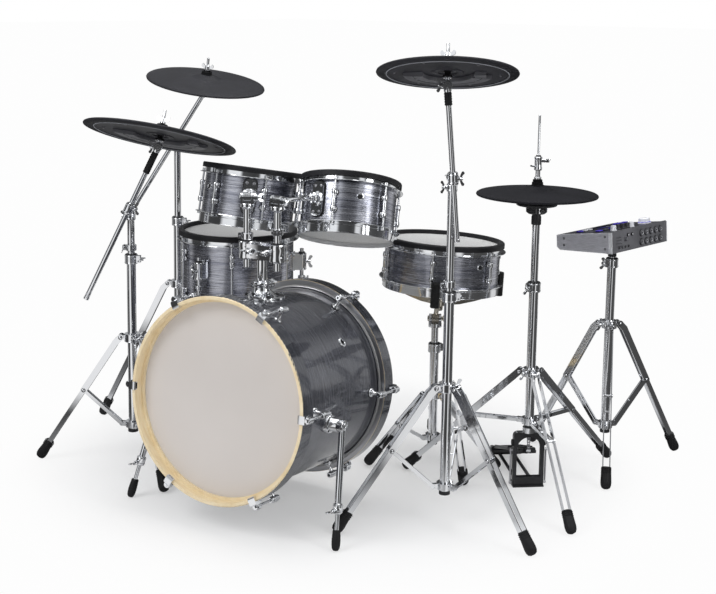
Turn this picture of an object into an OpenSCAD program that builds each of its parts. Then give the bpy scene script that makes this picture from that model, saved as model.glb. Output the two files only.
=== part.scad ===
// Electronic drum kit: bass drum with two toms, snare, floor tom, four pads on stands and a sound module.
// Lengths are in millimetres. The bass drum's front faces -Y, and the floor is z = 0.

/* [Bass drum] */
// Outer radius of the two wooden hoops
bass_hoop_r = 250; // [240:1:260]
// Depth of a hoop along the drum
bass_hoop_depth = 42; // [38:1:50]
// Wall of a hoop
bass_hoop_wall = 9; // [7:0.5:12]
// Length of the drum over both hoops
bass_len = 415; // [395:5:450]
// Height of the front hoop's centre
bass_height = 318; // [312:1:330]
// Tilt that raises the front of the drum, in degrees
bass_tilt = 4.1; // [3:0.1:5]
// Wall of every drum shell
shell_wall = 6; // [5:0.5:8]

/* [Drums] */
// Outer radius of a rack tom's shell
tom_r = 121; // [116:1:124]
// Depth of a rack tom over both hoops
tom_depth = 156; // [145:1:170]
// Outer radius of the shells of the snare and the floor tom
big_r = 156; // [150:1:160]
// Depth of the snare over both hoops
snare_depth = 140; // [130:1:150]
// Depth of the floor tom over both hoops
floor_depth = 240; // [225:1:245]
// How far a rubber rim stands out over its shell
rim_overhang = 11; // [9:0.5:13]
// Tension rods on each drum
lug_count = 6; // [6:1:8]
// Height of the floor tom's rim
floor_rim_z = 617; // [600:1:640]

/* [Pads] */
// Radius of the large pad at the front left
left_pad_r = 202; // [190:1:205]
// Radius of the pad at the front right
ride_pad_r = 165; // [155:1:178]
// Radius of the pad at the back left
back_pad_r = 170; // [160:1:178]
// Radius of the hi-hat pad
hat_pad_r = 155; // [145:1:165]
// Thickness of a pad near its edge
pad_t = 9; // [8:0.5:12]

/* [Stands] */
// Radius of the sliding upper tubes
post_r = 9.5; // [9:0.1:10.5]
// Radius of the fixed lower tubes
tube_r = 12; // [11.8:0.1:13]
// Radius of a boom
boom_r = 6.5; // [6:0.1:7.5]
// Width of a leg's rail
rail_w = 13; // [11:0.5:16]
// Distance between the middles of a leg's two rails
rail_gap = 18; // [17:0.5:22]
// Thickness of rails, braces and ears
strap_t = 2.5; // [2:0.1:3]
// Height of the front right stand's boom clamp
ride_clamp_z = 850; // [800:5:900]
// Height of the front left stand's boom clamp
left_clamp_z = 703; // [690:1:740]
// Height of the back left stand's boom clamp
back_clamp_z = 850; // [830:5:900]
// Height of the hi-hat pad's middle
hat_pad_z = 786; // [780:1:800]
// Height of the module's underside over its stand
module_z = 606; // [600:1:630]

/* [Module] */
// Length of the module's case along its socket face
case_w = 272; // [250:1:300]
// Depth of the case
case_d = 172; // [160:1:190]
// Height of the case at its socket face
case_h = 56; // [50:1:62]
// Height of the case at the player's edge
case_low_h = 40; // [34:1:46]
// Radius of a jack socket's bore
jack_r = 3.3; // [3.2:0.05:3.6]

/* [Fits] */
// Radial clearance of sliding and turning fits
fit = 0.08; // [0.05:0.01:0.1]
// Gap between faces of pieces that move past each other
gap = 0.4; // [0.3:0.05:0.6]
// Gap between pieces that sit on each other
seat = 0.15; // [0.1:0.01:0.25]

/* [Hidden] */
$fn = 96;

// The middle of the kit's footprint, measured from the bass drum's front
centre_x = -33.8;
centre_y = 579;
// Seen from the front right, booms tilt in the plane that runs along this direction
boom_turn = 30.8;
front_dir = [sin(boom_turn), -cos(boom_turn), 0];
side_dir = [cos(boom_turn), sin(boom_turn), 0];

// Bass drum
bass_shell_r = bass_hoop_r - bass_hoop_wall - 12;
head_z = 31;
rod_r = 3;
claw_reach = 11;
bass_lug_z = 77;
bass_lug_len = 34;
bass_lug_r = 8;
claw_angles = [for (k = [0 : 5]) 60 * k];
spur_y = 138;
spur_drop = 39;
spur_hub_r = 15;
spur_hub_t = 14;
spur_tube_r = 8;
spur_block_r = 16;
spur_foot = [305, 58, 0];

// Tom holder and arms
holder_y = 195;
post_gap = 45;
block_z = 625;
block_h = 44;
block_size = [124, 42];
mount_post_r = 13;
hub_z = 775;
hub_w = 20;
hub_r = 12;
ear_t = 6;
pin_r = 5;
hinge_w = hub_w + 2 * ear_t + 10;
arm_r = 6;
bracket_size = [9, 30, 84];
left_rim = [-198, 435, 813];
left_lean = [10.3, 80.5];
left_bracket_turn = 304.5;
right_rim = [71, 493, 795];
right_lean = [19.4, 107];
right_bracket_turn = 262;
left_lug_turn = 262;
right_lug_turn = 284;

// Every drum but the bass
head_drop = 11;
rim_h = 14;
flange_z = 27;
flange_t = 2.5;
flange_w = 13;
hoop_t = 2.5;
lug_off = 10;
lug_r = 5.2;
// Lugs of a shallow drum: one long barrel on two feet; of the floor tom: a short one near each hoop
long_span = 42;
short_span = 18;
short_lug_z = 66;
thin_rod_r = 2.6;
floor_at = [-348, 574];
floor_lug_turn = 0;
floor_leg_turns = [30, 150, 270];
floor_leg_r = 5.5;
floor_leg_off = 24;
floor_leg_top = 560;
leg_block_z = 500;
leg_block_h = 46;
snare_rim_at = [193, 788, 612];
snare_lean = [3.9, 67.6];
snare_lug_turn = 288;

// Stands: [x, y], radius of the feet, heights of collar and bottom bracket, top of the lower tube,
// turn of the first leg, and turn of the wing bolts from it
ride_stand = [[439, 340], 269, 342, 96, 575, -134, 180];
left_stand = [[-474, 264], 258, 348, 107, 575, -152, 180];
back_stand = [[-600, 620], 240, 417, 150, 616, -157, 180];
hat_stand = [[508, 684], 331, 308, 178, 545, -168, 60];
module_stand = [[606, 985], 236, 387, 102, 570, -68, 300];
snare_stand = [[190, 752], 200, 178, 56, 322, -122, 180];
stands = [ride_stand, left_stand, back_stand, hat_stand, module_stand, snare_stand];
sleeve_r = 17;
sleeve_h = 24;
collar_r = 20;
collar_h = 22;
ear_x = 30;
knee = [14, -14];
rivet_r = 2.8;
strap_bulge = 0.6;
rail_extra = 4;
brace_w = 9;
brace_at = 0.44;
boot_r = 14;
boot_len = 56;
leg_end = [12, 26];
insertion = 110;
bolt_r = 4;
bolt_hole = 8;

// Booms: [tilt from upright, length below the clamp, length above it], then each pad's lean and its direction
ride_boom_set = [-4.9, 150, 216];
left_boom_set = [25.5, 272, 182];
back_boom_set = [31.5, 224, 160];
ride_lean = [15.7, 117.6];
left_pad_lean = [18, 90];
back_lean = [11.4, -17.9];
disc_r = 14;
disc_t = 12;
post_collar_h = 20;
clamp_r = 12;
clamp_len = 30;
pad_rise = 42;
stem_r = 4;
stem_base_r = 4.5;
stem_end = 22;
ball_r = 12;
bell_r = 42;
bell_h = 13;

// Hi-hat
hat_tilt_r = 26;
seat_z = 722;
frame_w = 82;
frame_t = 16;
coupler_r = 5.5;
rod_top = 976;
rod_end_r = 3;
clutch_top = 84;
frame_bar = 9;
heel_turn = 127.5;
heel_dist = 250;
toe_z = 92;
board_w = 74;
board_t = 6;

// Snare basket
snare_hub_z = 392;
basket_arms = 3;
basket_neck_r = 6.5;
basket_turn = 173;

// Module
case_turn = 77.7;
case_tilt = -4;
knob_r = 7;
tongue_z = module_z - 14;
tongue_t = 12;
neck_z = tongue_z - 8.6;

// A tube standing on z = 0
module pipe(r_out, r_in, h) {
    difference() {
        cylinder(h = h, r = r_out);
        translate([0, 0, -1]) cylinder(h = h + 2, r = r_in);
    }
}

// A round bar from one point to another
module bar(a, b, r) {
    d = b - a;
    translate(a) rotate([0, acos(d[2] / norm(d)), atan2(d[1], d[0])]) cylinder(h = norm(d), r = r);
}

// A flat strap's outline through some points, with round ends a little wider than the strap
module strap_outline(points, w) {
    for (i = [0 : len(points) - 2]) {
        d = points[i + 1] - points[i];
        translate(points[i]) rotate(atan2(d[1], d[0])) translate([0, -w / 2]) square([norm(d), w]);
    }
    for (p = points) translate(p) circle(d = w + strap_bulge);
}

// The same strap as a plate that stands in the XZ plane
module strap(points, w, t, holes = [], hole_r = 1) {
    rotate([90, 0, 0]) linear_extrude(t, center = true) difference() {
        strap_outline(points, w);
        for (p = holes) translate(p) circle(r = hole_r);
    }
}

// Leans what follows by an angle toward a direction, about the origin
module leaned(lean) {
    rotate([0, 0, lean[1]]) rotate([0, lean[0], 0]) rotate([0, 0, -lean[1]]) children();
}

// Where a leaned point ends up
function turn_z(p, a) = [p[0] * cos(a) - p[1] * sin(a), p[0] * sin(a) + p[1] * cos(a), p[2]];
function turn_y(p, a) = [p[0] * cos(a) + p[2] * sin(a), p[1], p[2] * cos(a) - p[0] * sin(a)];
function lean_point(p, lean) = turn_z(turn_y(turn_z(p, -lean[1]), lean[0]), lean[1]);

// Moves the kit so that the middle of its footprint is at the origin
module kit() {
    translate([-centre_x, -centre_y, 0]) children();
}

// A wing bolt along +Z: shank, collar and two wings
module wing_bolt(shank, reach = 0) {
    translate([0, 0, -shank]) cylinder(h = shank + 3, r = bolt_r);
    translate([0, 0, reach]) {
        cylinder(h = 9, r = 6);
        for (s = [-1, 1]) translate([s * 10, 1.6, 9]) rotate([90, 0, 0]) cylinder(h = 3.2, r = 6.5);
        translate([-10, -1.6, 3]) cube([20, 3.2, 7]);
    }
}

// Places what follows on the bass drum's axis: local +Z runs from the front hoop to the rear
module bass_place() {
    kit() translate([0, 0, bass_height]) rotate([-bass_tilt, 0, 0]) rotate([-90, 0, 0]) children();
}

// Repeats for the front and the rear end of the bass drum
module both_ends() {
    children();
    translate([0, 0, bass_len]) mirror([0, 0, 1]) children();
}

module bass_shell() {
    color("slategray") bass_place() difference() {
        translate([0, 0, head_z + 2]) {
            pipe(bass_shell_r, bass_shell_r - shell_wall, bass_len - 2 * head_z - 4);
        }
        // Cable socket in the side, towards the viewer's right
        translate([0, 0, bass_len * 0.62]) rotate([0, 90, -35]) cylinder(h = bass_hoop_r, r = 7);
    }
}

module bass_hoop() {
    lip = bass_shell_r + 4;
    inner = bass_hoop_r - bass_hoop_wall;
    rotate_extrude() difference() {
        union() {
            translate([inner, 0]) square([bass_hoop_wall, bass_hoop_depth]);
            translate([lip, head_z - 7]) square([inner - lip + 1, 7 - seat]);
        }
        // Rounded outer edge at the front
        translate([bass_hoop_r - 3, 0]) difference() {
            translate([0, -1]) square([4, 4]);
            translate([0, 3]) circle(r = 3);
        }
    }
}

module bass_front_hoop() {
    color("burlywood") bass_place() bass_hoop();
}

module bass_rear_hoop() {
    color("burlywood") bass_place() translate([0, 0, bass_len]) mirror([0, 0, 1]) bass_hoop();
}

// A head: the skin and the ring that stretches it over the shell's edge
module bass_head() {
    ring_r = bass_hoop_r - bass_hoop_wall - seat;
    rotate_extrude() {
        translate([0, head_z]) square([ring_r, 1.5]);
        translate([bass_shell_r + 1, head_z]) square([ring_r - bass_shell_r - 1, 9]);
    }
}

module bass_front_head() {
    color("gainsboro") bass_place() bass_head();
}

module bass_rear_head() {
    color("gainsboro") bass_place() translate([0, 0, bass_len]) mirror([0, 0, 1]) bass_head();
}

// A lug: a barrel on a foot that sits on the shell
module bass_lug() {
    barrel_r = bass_hoop_r + claw_reach;
    difference() {
        union() {
            translate([barrel_r, 0, bass_lug_z - bass_lug_len / 2]) cylinder(h = bass_lug_len, r = bass_lug_r);
            translate([bass_shell_r - 3, 0, bass_lug_z]) rotate([0, 90, 0]) {
                cylinder(h = barrel_r - bass_shell_r + 3, r = 6.5);
                cylinder(h = 7, r = 11);
            }
        }
        translate([barrel_r, 0, bass_lug_z - bass_lug_len]) cylinder(h = 2 * bass_lug_len, r = rod_r + gap);
        cylinder(h = bass_len, r = bass_shell_r + seat);
    }
}

module bass_lugs() {
    color("silver") bass_place() both_ends() for (a = claw_angles) rotate(a) bass_lug();
}

// A claw hooks over the hoop and its rod runs back to the lug
module bass_claw() {
    w = 18;
    translate([bass_hoop_r, w / 2, 0]) rotate([90, 0, 0]) linear_extrude(w) {
        translate([-bass_hoop_wall - 4, -3.5]) square([bass_hoop_wall + 8.5, 3.2]);
        translate([-bass_hoop_wall - 4, -3.5]) square([3.7, 9]);
        translate([0.3, -3.5]) square([4.2, 22]);
    }
    difference() {
        translate([bass_hoop_r + 0.3, 0, 5]) linear_extrude(8) {
            translate([0, -8]) square([claw_reach, 16]);
            translate([claw_reach, 0]) circle(r = 8);
        }
        translate([bass_hoop_r + claw_reach, 0, 0]) cylinder(h = 20, r = rod_r + gap);
    }
    // The tension rod with its square head
    translate([bass_hoop_r + claw_reach, 0, 0]) {
        cylinder(h = bass_lug_z, r = rod_r);
        translate([0, 0, 0.5]) cylinder(h = 4.3, r = 5.2);
        translate([-3, -3, -6]) cube([6, 6, 7]);
    }
}

module bass_claws() {
    color("silver") bass_place() both_ends() for (a = claw_angles) rotate(a) bass_claw();
}

// The tom holder: foot on the shell, thick post, and the block that clamps both tubes; and the spurs' brackets
module tom_mount() {
    color("silver") {
        difference() {
            kit() union() {
                translate([-30, holder_y - 34, 500]) cube([60, 68, bass_height + bass_shell_r - 500]);
                translate([0, holder_y, 500]) cylinder(h = block_z - 499, r = mount_post_r);
                translate([0, holder_y, 500]) cylinder(h = 62, r = 19);
            }
            bass_place() cylinder(h = bass_len, r = bass_shell_r + seat);
        }
        kit() difference() {
            translate([0, holder_y, block_z]) linear_extrude(block_h) difference() {
                union() {
                    square([2 * post_gap, block_size[1]], center = true);
                    for (s = [-1, 1]) translate([s * post_gap, 0]) circle(d = block_size[1]);
                }
                for (s = [-1, 1]) translate([s * post_gap, 0]) circle(r = post_r + fit);
                // Saw cuts that let the block close on the tubes
                for (s = [-1, 1]) translate([s * post_gap - 1, 0]) square([2, block_size[1]]);
            }
            for (s = [-1, 1]) translate([s * 22, holder_y - block_size[1] / 2, block_z + block_h / 2]) {
                rotate([-90, 0, 0]) translate([0, 0, -1]) cylinder(h = bolt_hole + 1, r = bolt_r + seat);
            }
        }
        for (s = [-1, 1]) spur_bracket(s);
    }
}

// A spur's bracket: a round block on the shell's side, bored for the spur's pin
module spur_bracket(s) {
    difference() {
        kit() translate([s * 200, spur_y, bass_height - spur_drop - 10]) rotate([0, s * 90, 0]) {
            cylinder(h = 62 + bass_shell_r - 229, r = spur_block_r);
            cylinder(h = 40 + bass_shell_r - 229, r = 22);
        }
        bass_place() cylinder(h = bass_len, r = bass_shell_r + seat);
        kit() translate([s * 235, spur_y, bass_height - spur_drop - 10]) rotate([0, s * 90, 0]) {
            cylinder(h = 60, r = pin_r + fit);
        }
    }
}

// A spur: hub on its pin, tube, clamp ring, thinner rod and rubber tip
module spur(s) {
    face = 262 + bass_shell_r - 229 + gap;
    hub = [s * (face + spur_hub_t / 2), spur_y, bass_height - spur_drop - 10];
    foot = [s * spur_foot[0], spur_foot[1], 14];
    low = hub + (foot - hub) * 0.72;
    kit() {
        translate([s * face, hub[1], hub[2]]) rotate([0, s * 90, 0]) cylinder(h = spur_hub_t, r = spur_hub_r);
        translate([s * (face - 22), hub[1], hub[2]]) rotate([0, s * 90, 0]) cylinder(h = 24, r = pin_r);
        bar(hub, low, spur_tube_r);
        bar(low + (hub - low) * 0.08, low + (foot - low) * 0.12, spur_tube_r + 3.5);
        bar(low, foot, 5);
        // Wing handle of the clamp ring
        translate(low) translate([0, -spur_tube_r, 0]) rotate([90, 0, 0]) cylinder(h = 18, r = 4);
        translate(low) translate([-10, -spur_tube_r - 20, -4]) cube([20, 4, 8]);
        difference() {
            bar(low + (foot - low) * 0.62, foot + (foot - low) * 0.25, 10);
            translate([foot[0] - 40, foot[1] - 40, -40]) cube([80, 80, 40]);
        }
    }
}

module left_spur() { color("silver") spur(-1); }
module right_spur() { color("silver") spur(1); }

// The fork on top of a tom post: two ears bored for the arm's pin
module tom_post(s, turn) {
    kit() translate([s * post_gap, holder_y, 0]) {
        translate([0, 0, block_z - 22]) cylinder(h = hub_z - hub_r - gap - 10 - block_z + 23, r = post_r);
        rotate(turn) {
            translate([0, 0, hub_z - hub_r - gap - 10]) cylinder(h = 10, r = 18);
            difference() {
                for (e = [-1, 1]) translate([0, e * (hub_w / 2 + gap + ear_t / 2), 0]) {
                    strap([[0, hub_z - hub_r - 6], [0, hub_z]], 2 * hub_r + 2, ear_t);
                }
                translate([0, 40, hub_z]) rotate([90, 0, 0]) cylinder(h = 80, r = pin_r + fit);
                translate([-20, -30, hub_z - hub_r - gap - 40]) cube([40, 60, 30]);
            }
        }
    }
}

module left_post() {
    color("silver") tom_post(-1, arm_turn(-1, left_rim, left_lean, left_bracket_turn));
}

module right_post() {
    color("silver") tom_post(1, arm_turn(1, right_rim, right_lean, right_bracket_turn));
}

// An arm: pinned hub, rod, and the bracket plate on the tom's shell
module tom_arm(s, rim, lean, bracket_turn) {
    hub = [s * post_gap, holder_y, hub_z];
    reach = tom_r + seat + bracket_size[0] + 9;
    boss = boss_point(rim, lean, bracket_turn);
    kit() {
        translate(hub) rotate(arm_turn(s, rim, lean, bracket_turn)) {
            rotate([90, 0, 0]) translate([0, 0, -hub_w / 2]) cylinder(h = hub_w, r = hub_r);
            rotate([90, 0, 0]) translate([0, 0, -hinge_w / 2]) cylinder(h = hinge_w, r = pin_r);
            // Wing nut on the pin's end
            translate([0, -hub_w / 2 - ear_t - 2 * gap - 8, 0]) rotate([90, 0, 0]) {
                translate([0, 0, -7]) cylinder(h = 7, r = 9);
                translate([-14, -2, -5]) cube([28, 4, 9]);
            }
        }
        bar(hub, boss, arm_r);
        translate(boss) sphere(r = 13);
        difference() {
            translate(rim) leaned(lean) rotate(bracket_turn) {
                translate([tom_r - 4, -bracket_size[1] / 2, -tom_depth / 2 + 4 - bracket_size[2] / 2]) {
                    cube([bracket_size[0] + 4, bracket_size[1], bracket_size[2]]);
                }
                translate([tom_r - 4, 0, -tom_depth / 2 + 4]) rotate([0, 90, 0]) {
                    cylinder(h = reach - tom_r + 4, r = 12);
                }
            }
            translate(rim) leaned(lean) translate([0, 0, -tom_depth]) cylinder(h = tom_depth, r = tom_r + seat);
        }
    }
}

module left_arm() { color("silver") tom_arm(-1, left_rim, left_lean, left_bracket_turn); }
module right_arm() { color("silver") tom_arm(1, right_rim, right_lean, right_bracket_turn); }

// Where an arm ends on its tom, and the way it points
function boss_point(rim, lean, turn) =
    rim + lean_point(turn_z([tom_r + seat + bracket_size[0] + 9, 0, 4 - tom_depth / 2], turn), lean);
function arm_turn(s, rim, lean, turn) =
    atan2(boss_point(rim, lean, turn)[1] - holder_y, boss_point(rim, lean, turn)[0] - s * post_gap);

// A drum's parts, in its own frame: z = 0 is the top of the rubber rim
module drum_shell(r, depth, hole_turn) {
    difference() {
        translate([0, 0, head_drop - depth]) pipe(r, r - shell_wall, depth - 2 * head_drop - 1.5);
        // Socket hole
        rotate(hole_turn) translate([0, 0, -depth * 0.4]) rotate([0, 90, 0]) cylinder(h = r + 5, r = 6);
    }
}

module drum_heads(r, depth) {
    translate([0, 0, -head_drop - 1.5 + seat]) cylinder(h = 1.3, r = r);
    translate([0, 0, head_drop - depth - 1.5]) cylinder(h = 1.5 - seat, r = r);
}

module drum_rim(r) {
    rim_r = r + rim_overhang;
    inner = r - shell_wall;
    rotate_extrude() difference() {
        union() {
            translate([r + 2, -rim_h]) square([rim_overhang - 2, rim_h - 4]);
            translate([inner + 3, -head_drop + seat]) square([rim_r - inner - 6, head_drop - seat]);
            translate([rim_r - 4, -4]) circle(r = 4);
            translate([inner + 3, -head_drop + 4]) square([3, 3]);
        }
        translate([r - 1, -rim_h - 1]) square([3, rim_h - head_drop + 1 + seat]);
    }
}

// Both metal hoops, with holes for the rods, and the lugs and rods
module drum_metal(r, depth, turn, lugs, span) {
    step = 360 / lug_count;
    rod_at = r + lug_off;
    difference() {
        rotate_extrude() {
            translate([r + 1, -flange_z]) square([hoop_t, flange_z - rim_h - seat]);
            translate([r + 1, -flange_z]) square([flange_w, flange_t]);
        }
        for (k = [1 : lug_count]) rotate(turn + k * step) translate([rod_at, 0, -flange_z - 1]) {
            cylinder(h = flange_t + 2, r = thin_rod_r + gap);
        }
    }
    difference() {
        rotate_extrude() {
            translate([r + 1, -depth]) square([hoop_t, flange_z]);
            translate([r + 1, flange_z - depth - flange_t]) square([flange_w, flange_t]);
        }
        for (k = [1 : lug_count]) rotate(turn + k * step) {
            translate([rod_at, 0, flange_z - depth - flange_t - 1]) {
                cylinder(h = flange_t + 2, r = thin_rod_r + gap);
            }
        }
    }
    difference() {
        for (k = [1 : lug_count]) rotate(turn + k * step) {
            for (z = lugs) {
                translate([rod_at, 0, z - span / 2 - 7]) cylinder(h = span + 14, r = lug_r);
                for (e = [-1, 1]) translate([r - 2, 0, z + e * span / 2]) rotate([0, 90, 0]) {
                    cylinder(h = lug_off, r = 4.4);
                    cylinder(h = 5, r = 7);
                }
            }
            translate([rod_at, 0, flange_z - depth - 6]) {
                cylinder(h = depth - 2 * flange_z + 12, r = thin_rod_r);
            }
            translate([rod_at, 0, flange_t - flange_z + seat]) cylinder(h = 7, r = 4.6);
            translate([rod_at, 0, flange_z - depth - flange_t - 7 - seat]) cylinder(h = 7, r = 4.6);
        }
        translate([0, 0, -depth]) cylinder(h = depth, r = r + seat);
    }
}

module at_left_tom() { kit() translate(left_rim) leaned(left_lean) children(); }
module at_right_tom() { kit() translate(right_rim) leaned(right_lean) children(); }
module at_floor_tom() { kit() translate([floor_at[0], floor_at[1], floor_rim_z]) children(); }
module at_snare() { kit() translate(snare_rim_at) leaned(snare_lean) children(); }

module left_tom_shell() { color("slategray") at_left_tom() drum_shell(tom_r, tom_depth, 245); }
module left_tom_heads() { color("whitesmoke") at_left_tom() drum_heads(tom_r, tom_depth); }
module left_tom_rim() { color("dimgray") at_left_tom() drum_rim(tom_r); }
module left_tom_metal() {
    color("silver") at_left_tom() drum_metal(tom_r, tom_depth, left_lug_turn, [-tom_depth / 2], long_span);
}

module right_tom_shell() { color("slategray") at_right_tom() drum_shell(tom_r, tom_depth, 314); }
module right_tom_heads() { color("whitesmoke") at_right_tom() drum_heads(tom_r, tom_depth); }
module right_tom_rim() { color("dimgray") at_right_tom() drum_rim(tom_r); }
module right_tom_metal() {
    color("silver") at_right_tom() drum_metal(tom_r, tom_depth, right_lug_turn, [-tom_depth / 2], long_span);
}

module snare_shell() { color("slategray") at_snare() drum_shell(big_r, snare_depth, 337); }
module snare_heads() { color("whitesmoke") at_snare() drum_heads(big_r, snare_depth); }
module snare_rim() { color("dimgray") at_snare() drum_rim(big_r); }
module snare_metal() {
    color("silver") at_snare() drum_metal(big_r, snare_depth, snare_lug_turn, [-snare_depth / 2], long_span);
}

module floor_tom_shell() { color("slategray") at_floor_tom() drum_shell(big_r, floor_depth, 254); }
module floor_tom_heads() { color("whitesmoke") at_floor_tom() drum_heads(big_r, floor_depth); }
module floor_tom_rim() { color("dimgray") at_floor_tom() drum_rim(big_r); }

// The floor tom's metal, with the blocks that hold its legs
module floor_tom_metal() {
    color("silver") {
        at_floor_tom() {
            lugs = [-short_lug_z, short_lug_z - floor_depth];
            drum_metal(big_r, floor_depth, floor_lug_turn, lugs, short_span);
        }
        kit() translate([floor_at[0], floor_at[1], leg_block_z]) difference() {
            for (a = floor_leg_turns) rotate(a) {
                translate([big_r - 3, -12, 0]) cube([floor_leg_off + 3, 24, leg_block_h]);
                translate([big_r + floor_leg_off, 0, 0]) cylinder(h = leg_block_h, r = 12);
            }
            for (a = floor_leg_turns) rotate(a) {
                translate([big_r + floor_leg_off, 0, -1]) cylinder(h = leg_block_h + 2, r = floor_leg_r + fit);
                translate([big_r + floor_leg_off + 12 - 6, 0, leg_block_h / 2]) rotate([0, 90, 0]) {
                    cylinder(h = bolt_hole, r = bolt_r + seat);
                }
            }
            translate([0, 0, -1]) cylinder(h = leg_block_h + 2, r = big_r + seat);
        }
    }
}

// A leg of the floor tom: straight rod and ribbed rubber tip
module floor_leg(k) {
    color("silver") kit() translate([floor_at[0], floor_at[1], 0]) rotate(floor_leg_turns[k]) {
        translate([big_r + floor_leg_off, 0, 0]) {
            translate([0, 0, 6]) cylinder(h = floor_leg_top - 6, r = floor_leg_r);
            cylinder(h = 34, r = 11);
            for (z = [8, 16, 24]) translate([0, 0, z]) cylinder(h = 4, r = 12.5);
        }
    }
}

module floor_leg_a() { floor_leg(0); }
module floor_leg_b() { floor_leg(1); }
module floor_leg_c() { floor_leg(2); }

// A leg's points in its own upright plane: [out from the tube, height]
function leg_top(s) = [ear_x, s[2]];
function leg_knee(s) = leg_top(s) + knee;
function leg_foot(s) = [s[1] - leg_end[0], leg_end[1]];
function brace_point(s) = leg_knee(s) + (leg_foot(s) - leg_knee(s)) * brace_at;

// A ring round the lower tube with three pairs of ears that a strap is pinned between
module ear_ring(z, h, ear_gap, hole) {
    difference() {
        union() {
            translate([0, 0, z - h / 2]) cylinder(h = h, r = collar_r);
            for (a = [0, 120, 240]) rotate(a) for (e = [-1, 1]) translate([0, e * (ear_gap / 2), 0]) {
                strap([[collar_r - 6, z], [ear_x, z]], 13, strap_t);
            }
        }
        translate([0, 0, z - h]) cylinder(h = 2 * h, r = tube_r + fit);
        for (a = [0, 120, 240]) rotate(a) translate([ear_x, 20, z]) rotate([90, 0, 0]) {
            cylinder(h = 40, r = hole);
        }
    }
}

// A leg: two rails, wider in their upper half, joined by their rivets
module tripod_leg(s) {
    half = rail_gap / 2 + strap_t / 2 + 1;
    for (e = [-1, 1]) translate([0, e * rail_gap / 2, 0]) {
        strap([leg_top(s), leg_knee(s), brace_point(s)], rail_w + rail_extra, strap_t);
        strap([brace_point(s), leg_foot(s)], rail_w, strap_t);
    }
    for (p = [leg_top(s), brace_point(s), leg_foot(s)]) {
        translate([p[0], half, p[1]]) rotate([90, 0, 0]) cylinder(h = 2 * half, r = rivet_r);
    }
}

// A brace: two straps and a spacer, from the leg to the bottom bracket
module tripod_brace(s) {
    ends = [brace_point(s), [ear_x, s[3]]];
    inside = rail_gap / 2 - strap_t - seat;
    for (e = [-1, 1]) translate([0, e * inside, 0]) strap(ends, brace_w, strap_t, ends, rivet_r + fit);
    mid = (ends[0] + ends[1]) / 2;
    translate([mid[0], inside, mid[1]]) rotate([90, 0, 0]) cylinder(h = 2 * inside, r = 2.5);
}

// A whole tripod with its lower tube
module tripod(s) {
    kit() translate([s[0][0], s[0][1], 0]) {
        translate([0, 0, s[3] - 22]) pipe(tube_r, post_r + fit, s[4] - s[3] + 22 - 6);
        // Sleeve that clamps the sliding tube
        difference() {
            translate([0, 0, s[4] - sleeve_h]) pipe(sleeve_r, post_r + fit, sleeve_h);
            translate([0, 0, s[4] - sleeve_h - 1]) cylinder(h = sleeve_h - 4, r = tube_r + fit);
            bolt_seat(s, s[4] - sleeve_h / 2, sleeve_r);
        }
        rotate(s[5]) {
            difference() {
                ear_ring(s[2], collar_h, rail_gap - 2 * strap_t - 2 * seat, rivet_r + fit);
                rotate(-s[5]) bolt_seat(s, s[2], collar_r);
            }
            ear_ring(s[3], collar_h - 6, rail_gap - 4 * strap_t - 4 * seat, rivet_r + fit);
            for (a = [0, 120, 240]) rotate(a) {
                tripod_leg(s);
                tripod_brace(s);
                translate([ear_x, 7, s[3]]) rotate([90, 0, 0]) cylinder(h = 14, r = rivet_r);
            }
        }
    }
}

// The hole for a wing bolt, between two legs
module bolt_seat(s, z, r) {
    translate([0, 0, z]) rotate(s[5] + s[6]) rotate([0, 90, 0]) translate([0, 0, r - 6]) {
        cylinder(h = 12, r = bolt_r + seat);
    }
}

module ride_tripod() { color("silver") tripod(ride_stand); }
module left_tripod() { color("silver") tripod(left_stand); }
module back_tripod() { color("silver") tripod(back_stand); }
module module_tripod() { color("silver") tripod(module_stand); }
module snare_tripod() { color("silver") tripod(snare_stand); }

// The hi-hat's tripod also carries the pedal's frame and base plate
module hat_tripod() {
    color("silver") {
        tripod(hat_stand);
        kit() translate([hat_stand[0][0], hat_stand[0][1], 0]) rotate(heel_turn) {
            side = frame_w / 2;
            top = hat_stand[3] - 32;
            // Upright frame with its open window, and on it the seat of the lower tube
            difference() {
                union() {
                    rotate([90, 0, 90]) linear_extrude(frame_t, center = true) difference() {
                        union() {
                            translate([-side, 4]) square([frame_w, top - 14]);
                            translate([-side + 12, 4]) square([frame_w - 24, top - 2]);
                            for (e = [-1, 1]) translate([e * (side - 12), top - 10]) circle(r = 12);
                        }
                        translate([-side + frame_bar, 26]) square([frame_w - 2 * frame_bar, top - 70]);
                        translate([0, top - 44]) circle(r = side - frame_bar);
                    }
                    translate([0, 0, top]) cylinder(h = 14, r = tube_r + 5);
                }
                translate([0, 0, top - 20]) cylinder(h = 60, r = coupler_r + gap);
                translate([0, 0, hat_stand[3] - 22 - seat]) cylinder(h = 40, r = tube_r + fit);
            }
            // Base plate to the heel, and the heel's two ears
            linear_extrude(4) {
                translate([-14, -side]) square([28, frame_w]);
                for (e = [-1, 1]) translate([0, e * 20 - 4]) square([heel_dist, 8]);
                translate([heel_dist, 0]) difference() {
                    circle(r = board_w / 2 + 6);
                    translate([-60, -60]) square([50, 120]);
                }
            }
            difference() {
                for (e = [-1, 1]) translate([heel_dist, e * (board_w / 2 + gap + 3), 0]) {
                    strap([[0, 6], [0, 16]], 16, 6);
                }
                translate([heel_dist, 60, 16]) rotate([90, 0, 0]) cylinder(h = 120, r = 3 + fit);
                translate([heel_dist - 20, -60, -10]) cube([40, 120, 10]);
            }
        }
    }
}

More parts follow.
